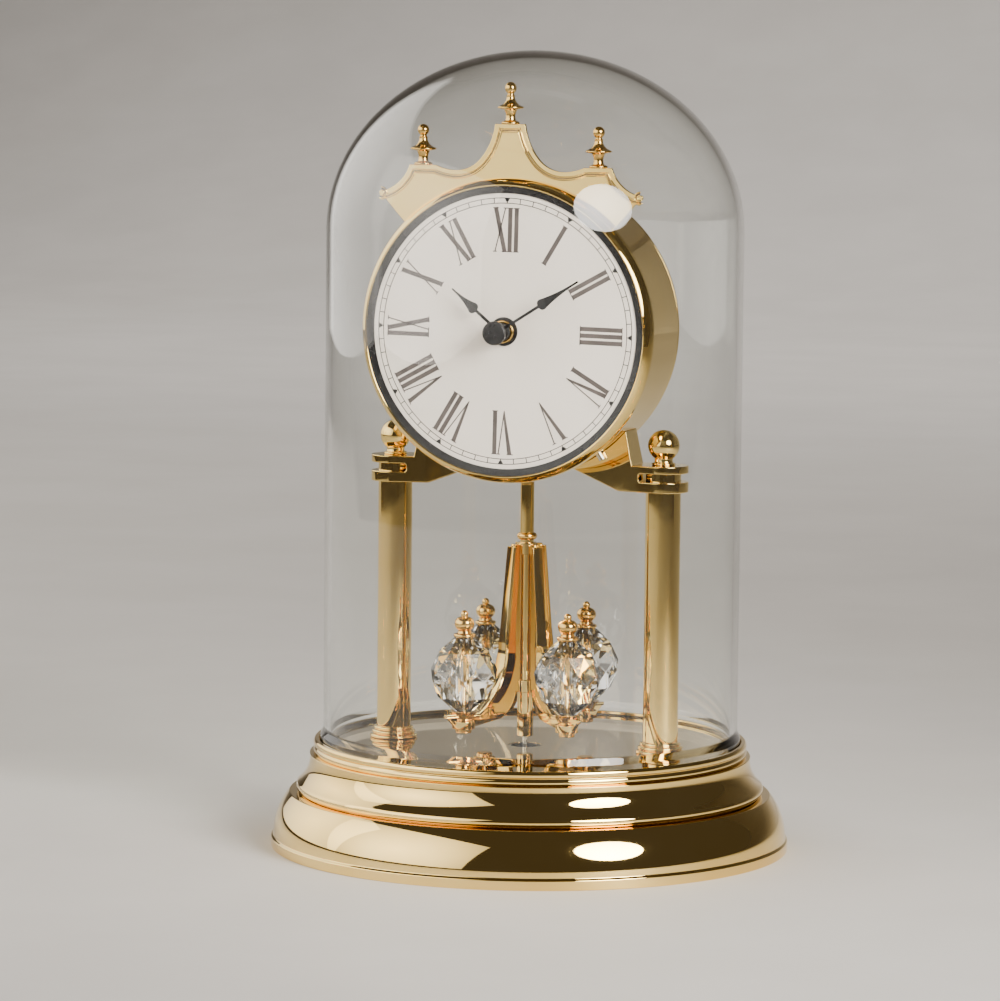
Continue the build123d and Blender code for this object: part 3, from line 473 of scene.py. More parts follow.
cup_low, cup_high = span("guide_cup")
hole = 4.75
plate = holed_disc(plate_edge - 0.05, seat_low.z, plate_top, hole, column_y)
piece("mirror_plate_disc", plate, "root", mirror_plate, ["base_plate"], "plated_brass")

# %% [markdown]
# Under the hole sits a small black moulded cup. It is turned too, with its flange hidden under the plate.

# %% Turn the guide cup
low, body_radius, flange_radius = cup_low.z, hole - 0.05, hole + 1.5
cup = lathe([(0, low), (body_radius, low), (body_radius, low + 2), (flange_radius, low + 2),
             (flange_radius, plate_top - 1.5), (body_radius, plate_top - 1.5), (body_radius, cup_high.z),
             (hole - 0.95, cup_high.z), (hole - 0.95, low + 1), (0, low + 1)], 64, 0.1)
piece("guide_cup_moulded", moved(cup, shift(y=column_y)), "root", black_plastic, ["guide_cup"])

# %% [markdown]
# ## The columns
# Each column is a plain bright tube, standing in a turned foot and topped by a ball on a short collar. The
# two sides are the same, so each part is turned once for each side and moved out to the column's axis.

# %% Turn the columns
foot_low, foot_high = span("column_foot_right")
ball_low, ball_high = span("column_finial_right")
foot_radius = (foot_high.x - foot_low.x) / 2
ball_radius = 4.5
ball_centre = ball_high.z - ball_radius
neck = 2.6
neck_top = ball_centre - sqrt(ball_radius ** 2 - neck ** 2)
tube_wall = 0.8
bore = column_radius - tube_wall
for side, at in (("left", -column_x), ("right", column_x)):
    here = shift(at, column_y)
    tube = lathe(tube_section(bore, column_radius, tube_low.z, tube_high.z), 96, 0.15)
    piece(f"column_{side}_tube", moved(tube, here), "root", plated_brass, [f"column_{side}"])
    low, r = foot_low.z, foot_radius
    foot = lathe(trace(
        (1.6, low), (r - 0.5, low), ((r, low + 0.55), (r - 0.5, low + 1.1)), (r - 1.0, low + 1.25),
        ((r - 0.55, low + 1.8), (r - 1.1, low + 2.35)), (r - 1.4, low + 2.45),
        ((r - 1.15, low + 2.95), (column_radius + 0.3, foot_high.z)), (column_radius + 0.05, foot_high.z),
        (column_radius + 0.05, low + 1.2), (1.6, low + 1.2), count=8), 96, 0.06)
    piece(f"column_{side}_foot", moved(foot, here), "root", plated_brass, [f"column_foot_{side}"])
    base = ball_low.z
    ball = lathe(trace(
        (0, base), (3.2, base), ((3.35, base + 0.35), (3.15, base + 0.7)), (2.7, base + 0.85),
        (neck, base + 1.2), (neck, neck_top), ((ball_radius, ball_centre), (0, ball_high.z)),
        count=28), 96, 0.05)
    piece(f"column_{side}_ball", moved(ball, here), "root", plated_brass, [f"column_finial_{side}"])

# %% [markdown]
# ## The brackets
# A bracket grips the column's head and reaches in to cradle the drum. Seen from the front it is an E on its
# side, with a slot between two prongs, and a web that slopes up to the drum. Seen from above it is a wedge
# with a round end. So the front outline is extruded right through, and the plan is cut from it by one
# upright plane after another, each cut filled again.

# %% Cut the brackets
def cut(bm, point, outward):
    """Takes away what lies beyond a plane, and closes the cut."""
    result = bmesh.ops.bisect_plane(bm, geom=bm.verts[:] + bm.edges[:] + bm.faces[:], dist=1e-5,
                                    plane_co=point, plane_no=outward, clear_outer=True)
    edges = [e for e in result["geom_cut"] if isinstance(e, bmesh.types.BMEdge) and e.is_boundary]
    bmesh.ops.holes_fill(bm, edges=edges, sides=0)


def bracket():
    half, end_radius, reach = 8.4, 7.1, 9.75
    ridge = column_x - reach
    skin = drum_radius + 0.02
    end = column_x + end_radius
    top_bearing, low_bearing = radians(47.6), radians(18.5)
    cradle = [(skin * sin(a), head_height - skin * cos(a))
              for a in (top_bearing + (low_bearing - top_bearing) * k / 16 for k in range(17))]
    low = span("bracket_right")[0].z
    top = low + 7.6
    slot_low, slot_top, slot_end = low + 3.0, low + 5.4, column_x - 5.6
    front = [(end, low), (end, slot_low), (slot_end + 0.5, slot_low), (slot_end, slot_low + 0.5),
             (slot_end, slot_top - 0.5), (slot_end + 0.5, slot_top), (end, slot_top), (end, top),
             (ridge + 2.0, top)] + cradle + [(ridge - 2.2, low)]
    bm = moved(pressed(front, 2 * half + 4, eased=0), shift(y=half + 2))
    turn = atan2(half, reach) + atan2(end_radius, sqrt(half ** 2 + reach ** 2 - end_radius ** 2)) - pi / 2
    for side in (-1, 1):
        tangent = Vector((-sin(turn), side * cos(turn), 0))
        cut(bm, Vector((column_x, 0, 0)) + tangent * end_radius, tangent)
        inner = Vector((ridge, side * half, 0))
        along = Vector((ridge - (cradle[-1][0] - 6), side * half * 0.5, 0)).normalized()
        cut(bm, inner, Vector((-along.y * side, along.x * side, 0)))
    for k in range(-14, 15):
        angle = radians(102) * k / 14
        outward = Vector((cos(angle), sin(angle), 0))
        cut(bm, Vector((column_x, 0, 0)) + outward * end_radius, outward)
    tidy(bm)
    ease(bm, 0.28, 3, 24)
    return moved(bm, shift(y=column_y))


piece("bracket_right_strap", bracket(), "root", plated_brass, ["bracket_right"])
piece("bracket_left_strap", flipped(bracket()), "root", plated_brass, ["bracket_left"])

# %% [markdown]
# ## The drum
# The drum is a spun cup: a tube with a narrow turned-in front that the dial lies on. The bezel is a second
# ring, pushed over its front edge. The rear cover snaps into the back. All are turned about the dial's
# axis, so they are spun upright like everything else and then laid over to face forwards.

# %% Spin the drum, the bezel and the rear cover
def head_piece(name, bm, *rest, **more):
    piece(name, moved(bm, TO_HEAD), *rest, **more)


sheet, turned_in = 1.0, 3.1
drum_in = drum_radius - sheet
case = lathe([(drum_in, drum_rear), (drum_radius, drum_rear), (drum_radius, drum_front),
              (drum_radius - turned_in, drum_front), (drum_radius - turned_in, drum_front - sheet),
              (drum_in, drum_front - sheet)], 192, 0.25)
head_piece("drum_spun", case, "root", plated_brass, ["drum_case"])

bezel_low, bezel_high = span("bezel")
bezel_radius = bezel_high.x
bezel_front, bezel_back = -bezel_low.y, -bezel_high.y
lip = drum_radius - 1.0
ring_face = dial_face + 0.6
side = bezel_back + 0.8
bezel = lathe(trace(
    (drum_radius + 0.05, bezel_back), (bezel_radius, bezel_back), (bezel_radius, side),
    ((bezel_radius - 0.6, (side + bezel_front) / 2 + 0.4), (lip + 0.35, bezel_front)),
    (lip, bezel_front - 0.25), (lip, ring_face), (drum_radius + 0.05, ring_face), count=10), 192, 0.08)
head_piece("bezel_turned", bezel, "root", plated_brass, ["bezel"])

dish = 2.4
flange = -span("rear_cover")[1].y + dish
plug = drum_radius - 1.08
cover = lathe(trace(
    (0, flange - dish), ((plug * 0.55, flange - dish * 0.72), (plug - 2.0, flange)), (drum_radius, flange),
    (drum_radius, drum_rear), (plug, drum_rear), (plug, drum_rear + 3), (plug - 1.0, drum_rear + 3),
    (plug - 1.0, drum_rear), (plug - 3.0, drum_rear),
    ((plug * 0.55, flange - dish * 0.72 + 1.2), (0, flange - dish + 1.2)), count=24), 192, 0.15)
head_piece("rear_cover_spun", cover, "rear_cover", plated_brass, ["rear_cover"])
print("bezel front at", round(bezel_front, 2), "dial face at", round(dial_face, 2))

# %% [markdown]
# ## The dial
# The dial is a thin painted disc. A black ring slopes from it up to the bezel, and hides the dial's cut
# edge.

# %% Make the dial and its black ring
dial_edge = drum_radius - 0.1
disc = lathe(tube_section(3.2, dial_edge, drum_front, dial_face), 192, 0.08)
head_piece("dial_painted", disc, "root", dial_ivory, ["dial"])
ring_in = dial_edge - 2.9
black_ring = lathe([(ring_in, dial_face), (dial_edge, dial_face), (dial_edge, ring_face),
                    (dial_edge - 0.9, ring_face), (ring_in, dial_face + 0.25)], 192, 0.05)
head_piece("dial_black_ring", black_ring, "root", black_lacquer, ["chapter_ring"])

# %% [markdown]
# ## The printed scale
# The print is a film of ink with real, if tiny, thickness, so it is made as thin solids on the paint. The
# minute track is two thin circles, sixty radial strokes between them and a small triangle at each hour.
# `stroke` draws any inked line as a thin bar with its own width at each end, and the whole scale is built
# from it.

# %% Lay the ink of the minute track
INK, SUNK = 0.03, 0.01


def inked(corners):
    """A thin solid on the dial's face, sunk a hair so that it leaves no gap."""
    return thickened([(x, y, dial_face - SUNK) for x, y in corners], (0, 0, INK + SUNK))


def stroke(start, end, width, end_width=None):
    """A thin inked bar on the dial's face, in the dial's own right and up."""
    (ax, ay), (bx, by) = start, end
    length = hypot(bx - ax, by - ay)
    nx, ny = -(by - ay) / length / 2, (bx - ax) / length / 2
    last = width if end_width is None else end_width
    return inked([(ax + nx * width, ay + ny * width), (ax - nx * width, ay - ny * width),
                  (bx - nx * last, by - ny * last), (bx + nx * last, by + ny * last)])


def clock_turn(angle):
    """Rotation on the dial, clockwise from twelve, for a mark drawn straight up."""
    return Matrix.Rotation(radians(-angle), 4, "Z")


track_in, track_out = 36.2, 37.65
circle_half, tick = 0.11, 0.24
print_turn = -1.0
marks = []
for radius in (track_in, track_out):
    marks.append(lathe(tube_section(radius - circle_half, radius + circle_half, dial_face - SUNK,
                                    dial_face + INK), 192, 0))
triangle = [(-0.85, track_out), (-0.3, track_in + 0.45), (0.3, track_in + 0.45), (0.85, track_out)]
for minute in range(60):
    turn = clock_turn(6 * minute - print_turn)
    marks.append(moved(stroke((0, track_in), (0, track_out), tick), turn))
    if minute % 5 == 0:
        marks.append(moved(inked(triangle), turn))
head_piece("dial_minute_track", joined(marks), "root", track_print, slot="dial_ivory", smooth=False)

# %% [markdown]
# Roman numerals need three letters. Each has thick strokes, hairlines and fine flat serifs, and each stands
# radially with its feet to the middle. A numeral is set like type: letter by letter, then centred on its
# hour.

# %% Set the numerals
foot_line, head_line = 22.45, 34.95
cap_height = head_line - foot_line
STEM, HAIR, SERIF = 1.25, 0.34, 0.26


LOW, HIGH = SERIF / 2, cap_height - SERIF / 2


def serif(x, y, half):
    return stroke((x - half, y), (x + half, y), SERIF)


def letter_i():
    return 1.88, [stroke((0, 0), (0, cap_height), STEM), serif(0, LOW, 0.86), serif(0, HIGH, 0.86)]


def letter_v():
    half = 1.75
    stem = [(-half - 0.55, cap_height), (-half + 0.72, cap_height), (0.52, 1.2), (0.32, 0), (0.12, 0)]
    return 3.95, [inked(stem), stroke((0.2, 0.1), (half, cap_height), HAIR * 0.9, HAIR * 1.1),
                  serif(-half, HIGH, 0.95), serif(half, HIGH, 0.62)]


def letter_x():
    half = 1.45
    return 3.9, [stroke((half, 0), (-half, cap_height), STEM), stroke((-half, 0), (half, cap_height), HAIR),
                  serif(half, LOW, 0.9), serif(-half, LOW, 0.6),
                  serif(-half, HIGH, 0.9), serif(half, HIGH, 0.6)]


letters = {"I": letter_i, "V": letter_v, "X": letter_x}


def numeral(word):
    set_out, x = [], 0.0
    for letter in word:
        advance, bars = letters[letter]()
        set_out += [moved(bar, shift(x + advance / 2)) for bar in bars]
        x += advance
    return [moved(bar, shift(-x / 2, foot_line)) for bar in set_out]


hours = ["XII", "I", "II", "III", "IV", "V", "VI", "VII", "VIII", "IX", "X", "XI"]
type_set = [moved(bar, clock_turn(30 * k - print_turn))
            for k, word in enumerate(hours) for bar in numeral(word)]
head_piece("dial_numerals", joined(type_set), "root", dial_print, slot="dial_ivory", smooth=False)

# %% [markdown]
# ## The crown
# The crown is a pressed plate with scooped sides and two pointed ears. Two fine raised beads with a dark
# line of painted shade between them follow its edge. Insetting the front face would be quick, but it tangles
# in the scooped corners, so the outline is moved inwards as a line and a half-round strip is laid along it.

# %% Press the crown plate
crown_low, crown_high = span("crown_plate")
crown_front = -crown_low.y
plateau = crown_high.z - head_height
flat = plateau - 11.8
fit = drum_radius + 0.05
ear = drum_radius - 2.8
ear_high, ear_low = drum_radius - 3.2, drum_radius - 4.1
foot_bearing = radians(46.5)
foot = (fit * sin(foot_bearing), fit * cos(foot_bearing))
half_crown = trace(
    (4.45, plateau), ((5.6, plateau - 4.6), (8.4, flat + 2.4)), ((11.7, flat - 0.3), (16.4, flat - 1.3)),
    ((19.4, flat - 0.9), (22.1, flat)), (drum_radius - 12.0, flat),
    ((drum_radius - 9.2, flat - 4.6), (ear - 1.2, ear_high)),
    ((ear, (ear_high + ear_low) / 2), (ear - 1.0, ear_low - 0.3)), foot, count=9)
under = [(fit * sin(a), fit * cos(a)) for a in (foot_bearing * (1 - k / 14) for k in range(1, 28))]
crown_line = half_crown + under + [(-x, z) for x, z in reversed(half_crown)]


def offset(line, distance):
    """The same open line, moved sideways by a distance, with true corners."""
    moved_line = []
    for k, (x, y) in enumerate(line):
        before, after = line[max(k - 1, 0)], line[min(k + 1, len(line) - 1)]
        ends = [(x - before[0], y - before[1]), (after[0] - x, after[1] - y)]
        normals = [(dy / hypot(dx, dy), -dx / hypot(dx, dy)) for dx, dy in ends if hypot(dx, dy) > 1e-9]
        nx, ny = sum(n[0] for n in normals), sum(n[1] for n in normals)
        size = hypot(nx, ny)
        reach = distance / max(0.4, size / len(normals))
        moved_line.append((x + nx / size * reach, y + ny / size * reach))
    return moved_line


def raised_line(line, half, rise, level):
    """A half-round bead that follows a line across the plate's face."""
    bm = bmesh.new()
    rows = []
    for k in range(9):
        a = pi * k / 8
        height = level - 0.1 + (rise + 0.1) * sin(a)
        rows.append([bm.verts.new((x, y, height)) for x, y in offset(line, half * cos(a))])
    for first, second in zip(rows, rows[1:] + rows[:1]):
        for k in range(len(line) - 1):
            bm.faces.new((first[k], first[k + 1], second[k + 1], second[k]))
    for k in (0, -1):
        bm.faces.new([row[k] for row in rows])
    bmesh.ops.recalc_face_normals(bm, faces=bm.faces[:])
    return bm


plate_gauge, tongue_gauge = 1.2, 1.0
plate = thickened([(x, z, crown_front - plate_gauge) for x, z in crown_line], (0, 0, plate_gauge))
ease(plate, 0.16, 2, 50)
edge_line = [(-x, z) for x, z in reversed(half_crown[:-1])] + half_crown[:-1]
beads = [raised_line(offset(edge_line, inset), 0.22, 0.26, crown_front) for inset in (1.42, 2.28)]
# The dark line between the beads is painted shade: a low strip in near-black brown.
dark_line = raised_line(offset(edge_line, 1.85), 0.2, 0.05, crown_front)
tongue = lathe(tube_section(fit, fit + tongue_gauge, crown_front - 9.2, crown_front - 1.0), 192, 0)
for point, outward in (((-5, 0, 0), (-1, 0, 0)), ((5, 0, 0), (1, 0, 0)), ((0, 0, 0), (0, -1, 0))):
    cut(tongue, point, outward)
ease(tidy(tongue), 0.12)
head_piece("crown_pressed", joined([plate, tongue] + beads), "root", plated_brass, ["crown_plate"])
head_piece("crown_painted_shade_line", dark_line, "root", painted_groove_shade, slot="plated_brass")

# %% [markdown]
# Three small finials stand on the crown, all from the same turning: a square-edged foot, a waist that
# flares into a thin flange, a cone above it, and a ball.

# %% Turn the crown's finials
for place in ("left", "middle", "right"):
    low, high = span(f"crown_finial_{place}")
    tall = high.z - low.z
    ball = tall - 1.65
    finial = lathe(trace(
        (0, 0), (2.45, 0), ((2.6, 0.3), (2.45, 0.6)), (1.55, 0.95), ((1.35, 2.3), (1.9, 3.9)), (3.55, 4.25),
        ((3.72, 4.5), (3.5, 4.8)), (2.75, 5.1), ((1.75, 5.9), (1.15, 7.4)), (1.3, 7.7), (0.95, 8.0),
        (0.95, ball - 1.35), ((1.65, ball), (0, tall)), count=14), 64, 0.05)
    here = shift((low.x + high.x) / 2, (low.y + high.y) / 2, low.z)
    piece(f"crown_finial_{place}_turned", moved(finial, here), "root", turned_brass,
          [f"crown_finial_{place}"])

# %% [markdown]
# ## The hands
# The hands are stamped from thin black-lacquered sheet: a straight shaft, a round-shouldered swelling and a
# long taper. Each lies at the angle the CAD sets, on its own level, and rides on its own wheel train. Below
# them are the washer and the nut that hold the movement to the dial, and above them a domed cap.

# %% Stamp the hands
def hand_outline(length, bulb_at, bulb, shaft, tip, hub):
    """Right half and left half of one hand, pointing straight up."""
    start = sqrt(hub ** 2 - shaft ** 2)
    taper = []
    for k in range(1, 15):
        t = k / 14
        along = 0.12 * t + 0.88 * t ** 1.05
        taper.append((tip + (bulb - tip) * (1 - t) ** 2.2, bulb_at + (length - bulb_at) * along))
    right = trace((shaft, start), (shaft, bulb_at - bulb * 0.92),
                  ((bulb * 0.86, bulb_at - bulb * 0.62), (bulb, bulb_at)), count=7) + taper
    left = [(-x, z) for x, z in reversed(right)]
    opening = asin(shaft / hub)
    rim = [(hub * sin(a), hub * cos(a)) for a in
           (-opening - (2 * pi - 2 * opening) * k / 28 for k in range(1, 28))]
    return right + left + rim


hand_gauge, stem_bore = 0.4, 1.05
hands = {
    "hour": ("hour_train", 310.0, 29.9, (18.6, 10.6, 1.6, 0.42, 0.20, 2.5)),
    "minute": ("minute_train", 57.5, 31.9, (28.0, 15.8, 1.55, 0.40, 0.26, 2.1)),
}
for name, (body, angle, level, sizes) in hands.items():
    blade = ease(thickened([(x, y, level) for x, y in hand_outline(*sizes)], (0, 0, hand_gauge)), 0.07, 2)
    collar = lathe(tube_section(stem_bore, sizes[-1] - 0.2, level - 0.3, level + 0.6), 48, 0.08)
    turned = moved(joined([blade, collar]), clock_turn(angle))
    head_piece(f"{name}_hand_stamped", turned, body, black_lacquer, [f"{name}_hand"])

cap_low, cap_high = span("hand_cap")
cap_front = -cap_low.y
cap_base = -cap_high.y
cap = lathe(trace(
    (0, cap_base), (1.7, cap_base), (1.9, cap_base + 0.9), (2.9, cap_front - 1.6),
    ((3.36, cap_front - 1.2), (3.38, cap_front - 0.7)), ((3.25, cap_front - 0.2), (2.8, cap_front - 0.02)),
    (0, cap_front)), 96, 0.08)
head_piece("hand_cap_turned", cap, "minute_train", black_lacquer, ["hand_cap"])

nut_low = dial_face + 0.5
washer = lathe(tube_section(2.55, 4.1, dial_face, nut_low), 64, 0.1)
head_piece("stem_washer_black", washer, "root", black_lacquer, ["stem_washer"])
nut = lathe([(2.55, nut_low), (3.2, nut_low), (3.2, nut_low + 0.7), (3.0, nut_low + 0.85),
             (3.2, nut_low + 1.0), (3.2, nut_low + 1.6), (2.55, nut_low + 1.6)], 64, 0.08)
head_piece("stem_nut_turned", nut, "root", turned_brass, ["stem_nut"])

# %% [markdown]
# ## The pendulum
# The pendulum hangs on a tube. A sleeve and two collars on the tube carry four upright wings. Each wing is
# a thin web with a wide rail along its outer edge; the rail is straight at the top and sweeps out into an
# arm at the bottom. The rail is drawn as one curved line: an edge extruded sideways gives a ribbon, and
# solidify gives it thickness.

# %% Turn the tube and its collars
to_axis = shift(y=column_y)
p_low, p_high = span("pendulum_tube")
tube_radius = (p_high.x - p_low.x) / 2
tube = lathe(tube_section(1.2, tube_radius, p_low.z, p_high.z), 64, 0.12)
piece("pendulum_tube_drawn", moved(tube, to_axis), "pendulum", plated_brass, ["pendulum_tube"])
b, near = span("pendulum_bead")[0].z, tube_radius + 0.02
bead = lathe(trace((near, b), (near + 0.25, b), ((near + 0.9, b + 1), (near + 0.25, b + 2)), (near, b + 2)),
             64, 0.05)
piece("pendulum_bead_turned", moved(bead, to_axis), "pendulum", turned_brass, ["pendulum_bead"])

# %% [markdown]
# Where each crystal stands comes from the crystals' own boxes, so the wings always reach them.

# %% Build the spider
def centre(node):
    low, high = span(node)
    return (low + high) / 2


crystal_names = [f"crystal_{k}" for k in range(1, 5)]
crystal_places = [centre(name) for name in crystal_names]
bearings = [atan2(p.x, -(p.y - column_y)) for p in crystal_places]
orbit = sum(hypot(p.x, p.y - column_y) for p in crystal_places) / 4
crystal_z = crystal_places[0].z
half_tall = (span("crystal_1")[1].z - span("crystal_1")[0].z) / 2
spider_top = span("pendulum_spider")[1].z - 0.4
arm_z = crystal_z - half_tall - 0.6


def ribbon(line, widths, thickness):
    """A rail along a line in the wing's own plane, of changing width."""
    bm = wire(line, closed=False)
    first = bm.verts[:]
    grown = bmesh.ops.extrude_edge_only(bm, edges=bm.edges[:])
    for verts, side in ((first, -1), (new_verts(grown), 1)):
        for v in verts:
            nearest = min(range(len(line)), key=lambda k: hypot(v.co.x - line[k][0], v.co.z - line[k][1]))
            v.co.y = side * widths[nearest] / 2
    bmesh.ops.recalc_face_normals(bm, faces=bm.faces[:])
    bmesh.ops.solidify(bm, geom=bm.faces[:], thickness=thickness)
    bmesh.ops.recalc_face_normals(bm, faces=bm.faces[:])
    return ease(bm, 0.18, 3, 40)


def wing():
    head, knee = (5.7, spider_top - 0.6), (8.3, plate_top + 30.4)
    sweep = trace(head, knee, ((10.4, plate_top + 20.0), (orbit - 3.6, arm_z + 0.2)),
                  (orbit + 6.3, arm_z - 0.2), count=16)
    fall_x, fall_z = knee[0] - head[0], knee[1] - head[1]
    straight = [(head[0] + fall_x * k / 8, head[1] + fall_z * k / 8) for k in range(8)]
    line = straight + sweep[1:]
    widths = [3.3 + 2.2 * max(0.0, min(1.0, (plate_top + 34 - z) / 16)) for x, z in line]
    widths[-1] = 1.2
    rail = ribbon(line, widths, 1.0)
    inner = near + 0.5
    web_line = trace(
        (inner, plate_top + 15.8), (inner, spider_top), (4.9, spider_top), (5.3, spider_top - 1.4),
        (7.9, plate_top + 30.4), ((10.0, plate_top + 19.8), (orbit - 3.8, arm_z - 0.3)),
        (orbit + 6.0, arm_z - 0.7), (orbit + 5.8, arm_z - 1.0), (orbit + 2.8, arm_z - 4.2),
        (orbit - 3.0, arm_z - 4.2), (8.6, arm_z - 2.4), ((5.6, plate_top + 11.4), (4.0, plate_top + 15.8)),
        count=12)
    web_gauge = 1.4
    web = moved(pressed(web_line, web_gauge, 0.15), shift(y=web_gauge / 2))
    boss = moved(lathe(tube_section(2.35, 3.3, arm_z - 4.4, arm_z - 2.2), 48, 0.15), shift(orbit))
    return [rail, web, boss]


def around(bearing):
    """Turns a wing drawn along +X to its bearing from the front, about the pendulum's axis."""
    return to_axis @ Matrix.Rotation(bearing - pi / 2, 4, "Z")


thin, thick = near + 0.35, near + 0.8
sleeve = lathe([(near, p_low.z + 0.2), (thin, p_low.z + 0.2), (thin, plate_top + 15.6),
                (thick, plate_top + 15.6), (thick, plate_top + 19), (near, plate_top + 19)], 64, 0.1)
collar = lathe(tube_section(near, thick, spider_top - 3, spider_top + 0.4), 64, 0.15)
limbs = [moved(part, around(bearing)) for bearing in bearings for part in wing()]
spider = joined([moved(sleeve, to_axis), moved(collar, to_axis)] + limbs)
piece("pendulum_spider_cast", spider, "pendulum", plated_brass, ["pendulum_spider"])

# %% [markdown]
# ## The crystals
# Each ball is pressed glass with ground facets. Rings of points at a few heights, each ring turned half a
# facet from the last, wrapped in a convex hull, give exactly the flat triangles and kites of such a cut.
# The rod runs up through a bore, so the top and bottom flats are inset and bridged. Facets stay
# flat-shaded.

# %% Cut the crystals
def crystal(at):
    half_rings = [(1.0, 2.7), (0.62, 7.45), (0.13, 9.5)]
    rings = half_rings + [(-height, radius) for height, radius in reversed(half_rings)]
    count = 10
    bm = bmesh.new()
    for row, (height, radius) in enumerate(rings):
        for k in range(count):
            a = 2 * pi * (k + 0.5 * (row % 2)) / count
            bm.verts.new((radius * cos(a), radius * sin(a), half_tall * height))
    bmesh.ops.convex_hull(bm, input=bm.verts[:], use_existing_faces=False)
    bmesh.ops.dissolve_limit(bm, angle_limit=radians(4), verts=bm.verts[:], edges=bm.edges[:])
    bmesh.ops.recalc_face_normals(bm, faces=bm.faces[:])
    ends = [f for f in bm.faces if abs(f.normal.z) > 0.99 and abs(f.calc_center_median().z) > half_tall - 0.1]
    bmesh.ops.inset_individual(bm, faces=ends, thickness=1.35)
    loops = [e for f in ends for e in f.edges]
    bmesh.ops.delete(bm, geom=ends, context="FACES_ONLY")
    bmesh.ops.bridge_loops(bm, edges=loops)
    bmesh.ops.recalc_face_normals(bm, faces=bm.faces[:])
    edges = [e for e in bm.edges if e.is_manifold and e.calc_face_angle(0) > radians(6)]
    bmesh.ops.bevel(bm, geom=edges, offset=0.07, offset_type="OFFSET", segments=1, profile=0.5,
                    affect="EDGES", material=-1, clamp_overlap=True)
    return moved(bm, Matrix.Rotation(0.35, 4, "Z"), Matrix.Translation(at))


for name, place in zip(crystal_names, crystal_places):
    piece(f"{name}_cut", crystal(place), "pendulum", cut_crystal, [name], smooth=False)

# %% [markdown]
# Each crystal sits in a flared cup on the arm, under a turned cap: a collar, a short neck, a ball and a
# nub. A thin brass rod holds the stack together and shows, multiplied, through the glass.

# %% Turn the caps, cups and rods
caps_high = span("crystal_caps")[1].z
cups_low = span("crystal_cups")[0].z
caps, cups, rods = [], [], []
for place in crystal_places:
    top, base = place.z + half_tall, place.z - half_tall
    ball_z, nub = top + 4.1, caps_high
    here = shift(place.x, place.y)
    caps.append(moved(lathe(trace(
        (0, top), (2.85, top), ((3.1, top + 0.5), (2.85, top + 1.0)), (2.0, top + 1.15), (1.95, top + 1.75),
        (1.5, top + 1.9), ((2.85, ball_z - 0.3), (1.15, ball_z + 1.75)), (0.95, ball_z + 1.9),
        ((0.9, nub - 0.55), (0, nub)), count=12), 64, 0.05), here))
    cups.append(moved(lathe(trace(
        (0, cups_low), (1.9, cups_low), ((2.25, cups_low + 0.15), (2.3, cups_low + 0.5)),
        (2.3, cups_low + 2.8), ((2.75, cups_low + 4.4), (4.1, base)), (3.6, base),
        ((2.4, base - 0.5), (0, base - 0.7)),
        count=10), 64, 0.06), here))
    rods.append(moved(lathe(tube_section(0, 0.8, cups_low + 1.4, top + 3), 32, 0.05), here))
piece("crystal_caps_turned", joined(caps), "pendulum", turned_brass, ["crystal_caps"])
piece("crystal_cups_turned", joined(cups), "pendulum", turned_brass, ["crystal_cups"])
piece("crystal_rods_drawn", joined(rods), "pendulum", turned_brass, ["crystal_rods"])

# %% [markdown]
# The guide pin hangs below the tube into the black cup. At the top, an eye on the tube is linked through a
# ring on the drive's arbor. These small round parts are copied from the CAD nodes, merged and smoothed.

# %% Copy small CAD parts as smooth pieces
def sharp_edges(mesh, angle):
    bm = bmesh.new()
    bm.from_mesh(mesh)
    found = [e.index for e in bm.edges if not e.is_manifold or e.calc_face_angle(0) > radians(angle)]
    bm.free()
    return [mesh.edges[k] for k in found]


def smooth_copy(node, body, finish, slot):
    bm = bmesh.new()
    bm.from_mesh(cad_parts[node].data)
    bmesh.ops.scale(bm, vec=(1 / MM, 1 / MM, 1 / MM), verts=bm.verts[:])
    bmesh.ops.remove_doubles(bm, verts=bm.verts[:], dist=1e-3)
    thing = piece(f"{node}_finished", bm, body, finish, [node], slot)
    for edge in sharp_edges(thing.data, 35):
        edge.use_edge_sharp = True
    thing.modifiers["even_shading"].keep_sharp = True


smooth_copy("pendulum_eye", "pendulum", turned_brass, "turned_brass")
for node in ("pendulum_arbor", "guide_pin"):
    smooth_copy(node, "pendulum", bright_steel, "steel")

# %% [markdown]
# ## Inside the drum and under the base
# The movement, the drive and the fixings hardly show, but the cover comes off and the part is turned over,
# so each gets its own finish. Shapes that are right in the CAD are only smoothed.

# %% Finish the hidden parts
hidden = [
    ("root", black_plastic, "black_plastic", ("movement_case", "movement_cover", "drive_case", "drive_lid")),
    ("setting_train", black_plastic, "black_plastic", ("setting_knob",)),
    ("minute_train", natural_nylon, "nylon", ("centre_wheel",)),
    ("hour_train", natural_nylon, "nylon", ("hour_wheel",)),
    ("motion_train", natural_nylon, "nylon", ("motion_wheel",)),
    ("root", cell_jacket, "cell_jacket", ("battery",)),
    ("root", bright_steel, "steel", ("battery_contacts", "stator")),
    ("root", winding_wire, "copper_wire", ("step_coil", "drive_coil")),
    ("root", circuit_green, "circuit_green", ("circuit_board",)),
    ("root", bottom_felt, "board_felt", ("bottom_board",)),
    ("root", bright_steel, "steel", ("tie_rods", "column_nuts", "column_washers", "bracket_screws",
                                     "crown_screw")),
]
for body, finish, slot, nodes in hidden:
    for node in nodes:
        smooth_copy(node, body, finish, slot)

# %% [markdown]
# ## The glass dome
# The dome is blown in a mould: an even wall, straight sides, a rounded top flatter than a half ball, and a
# slightly thickened foot. It is a true wall with an outside and an inside, because both surfaces of real
# glass reflect, and the thickness is what makes its edges show.

# %% Blow the dome
dome_top = glass_high.z
foot = glass_high.x
outside, dome_wall = foot - 0.9, 2.0
spring = dome_top - 51.6


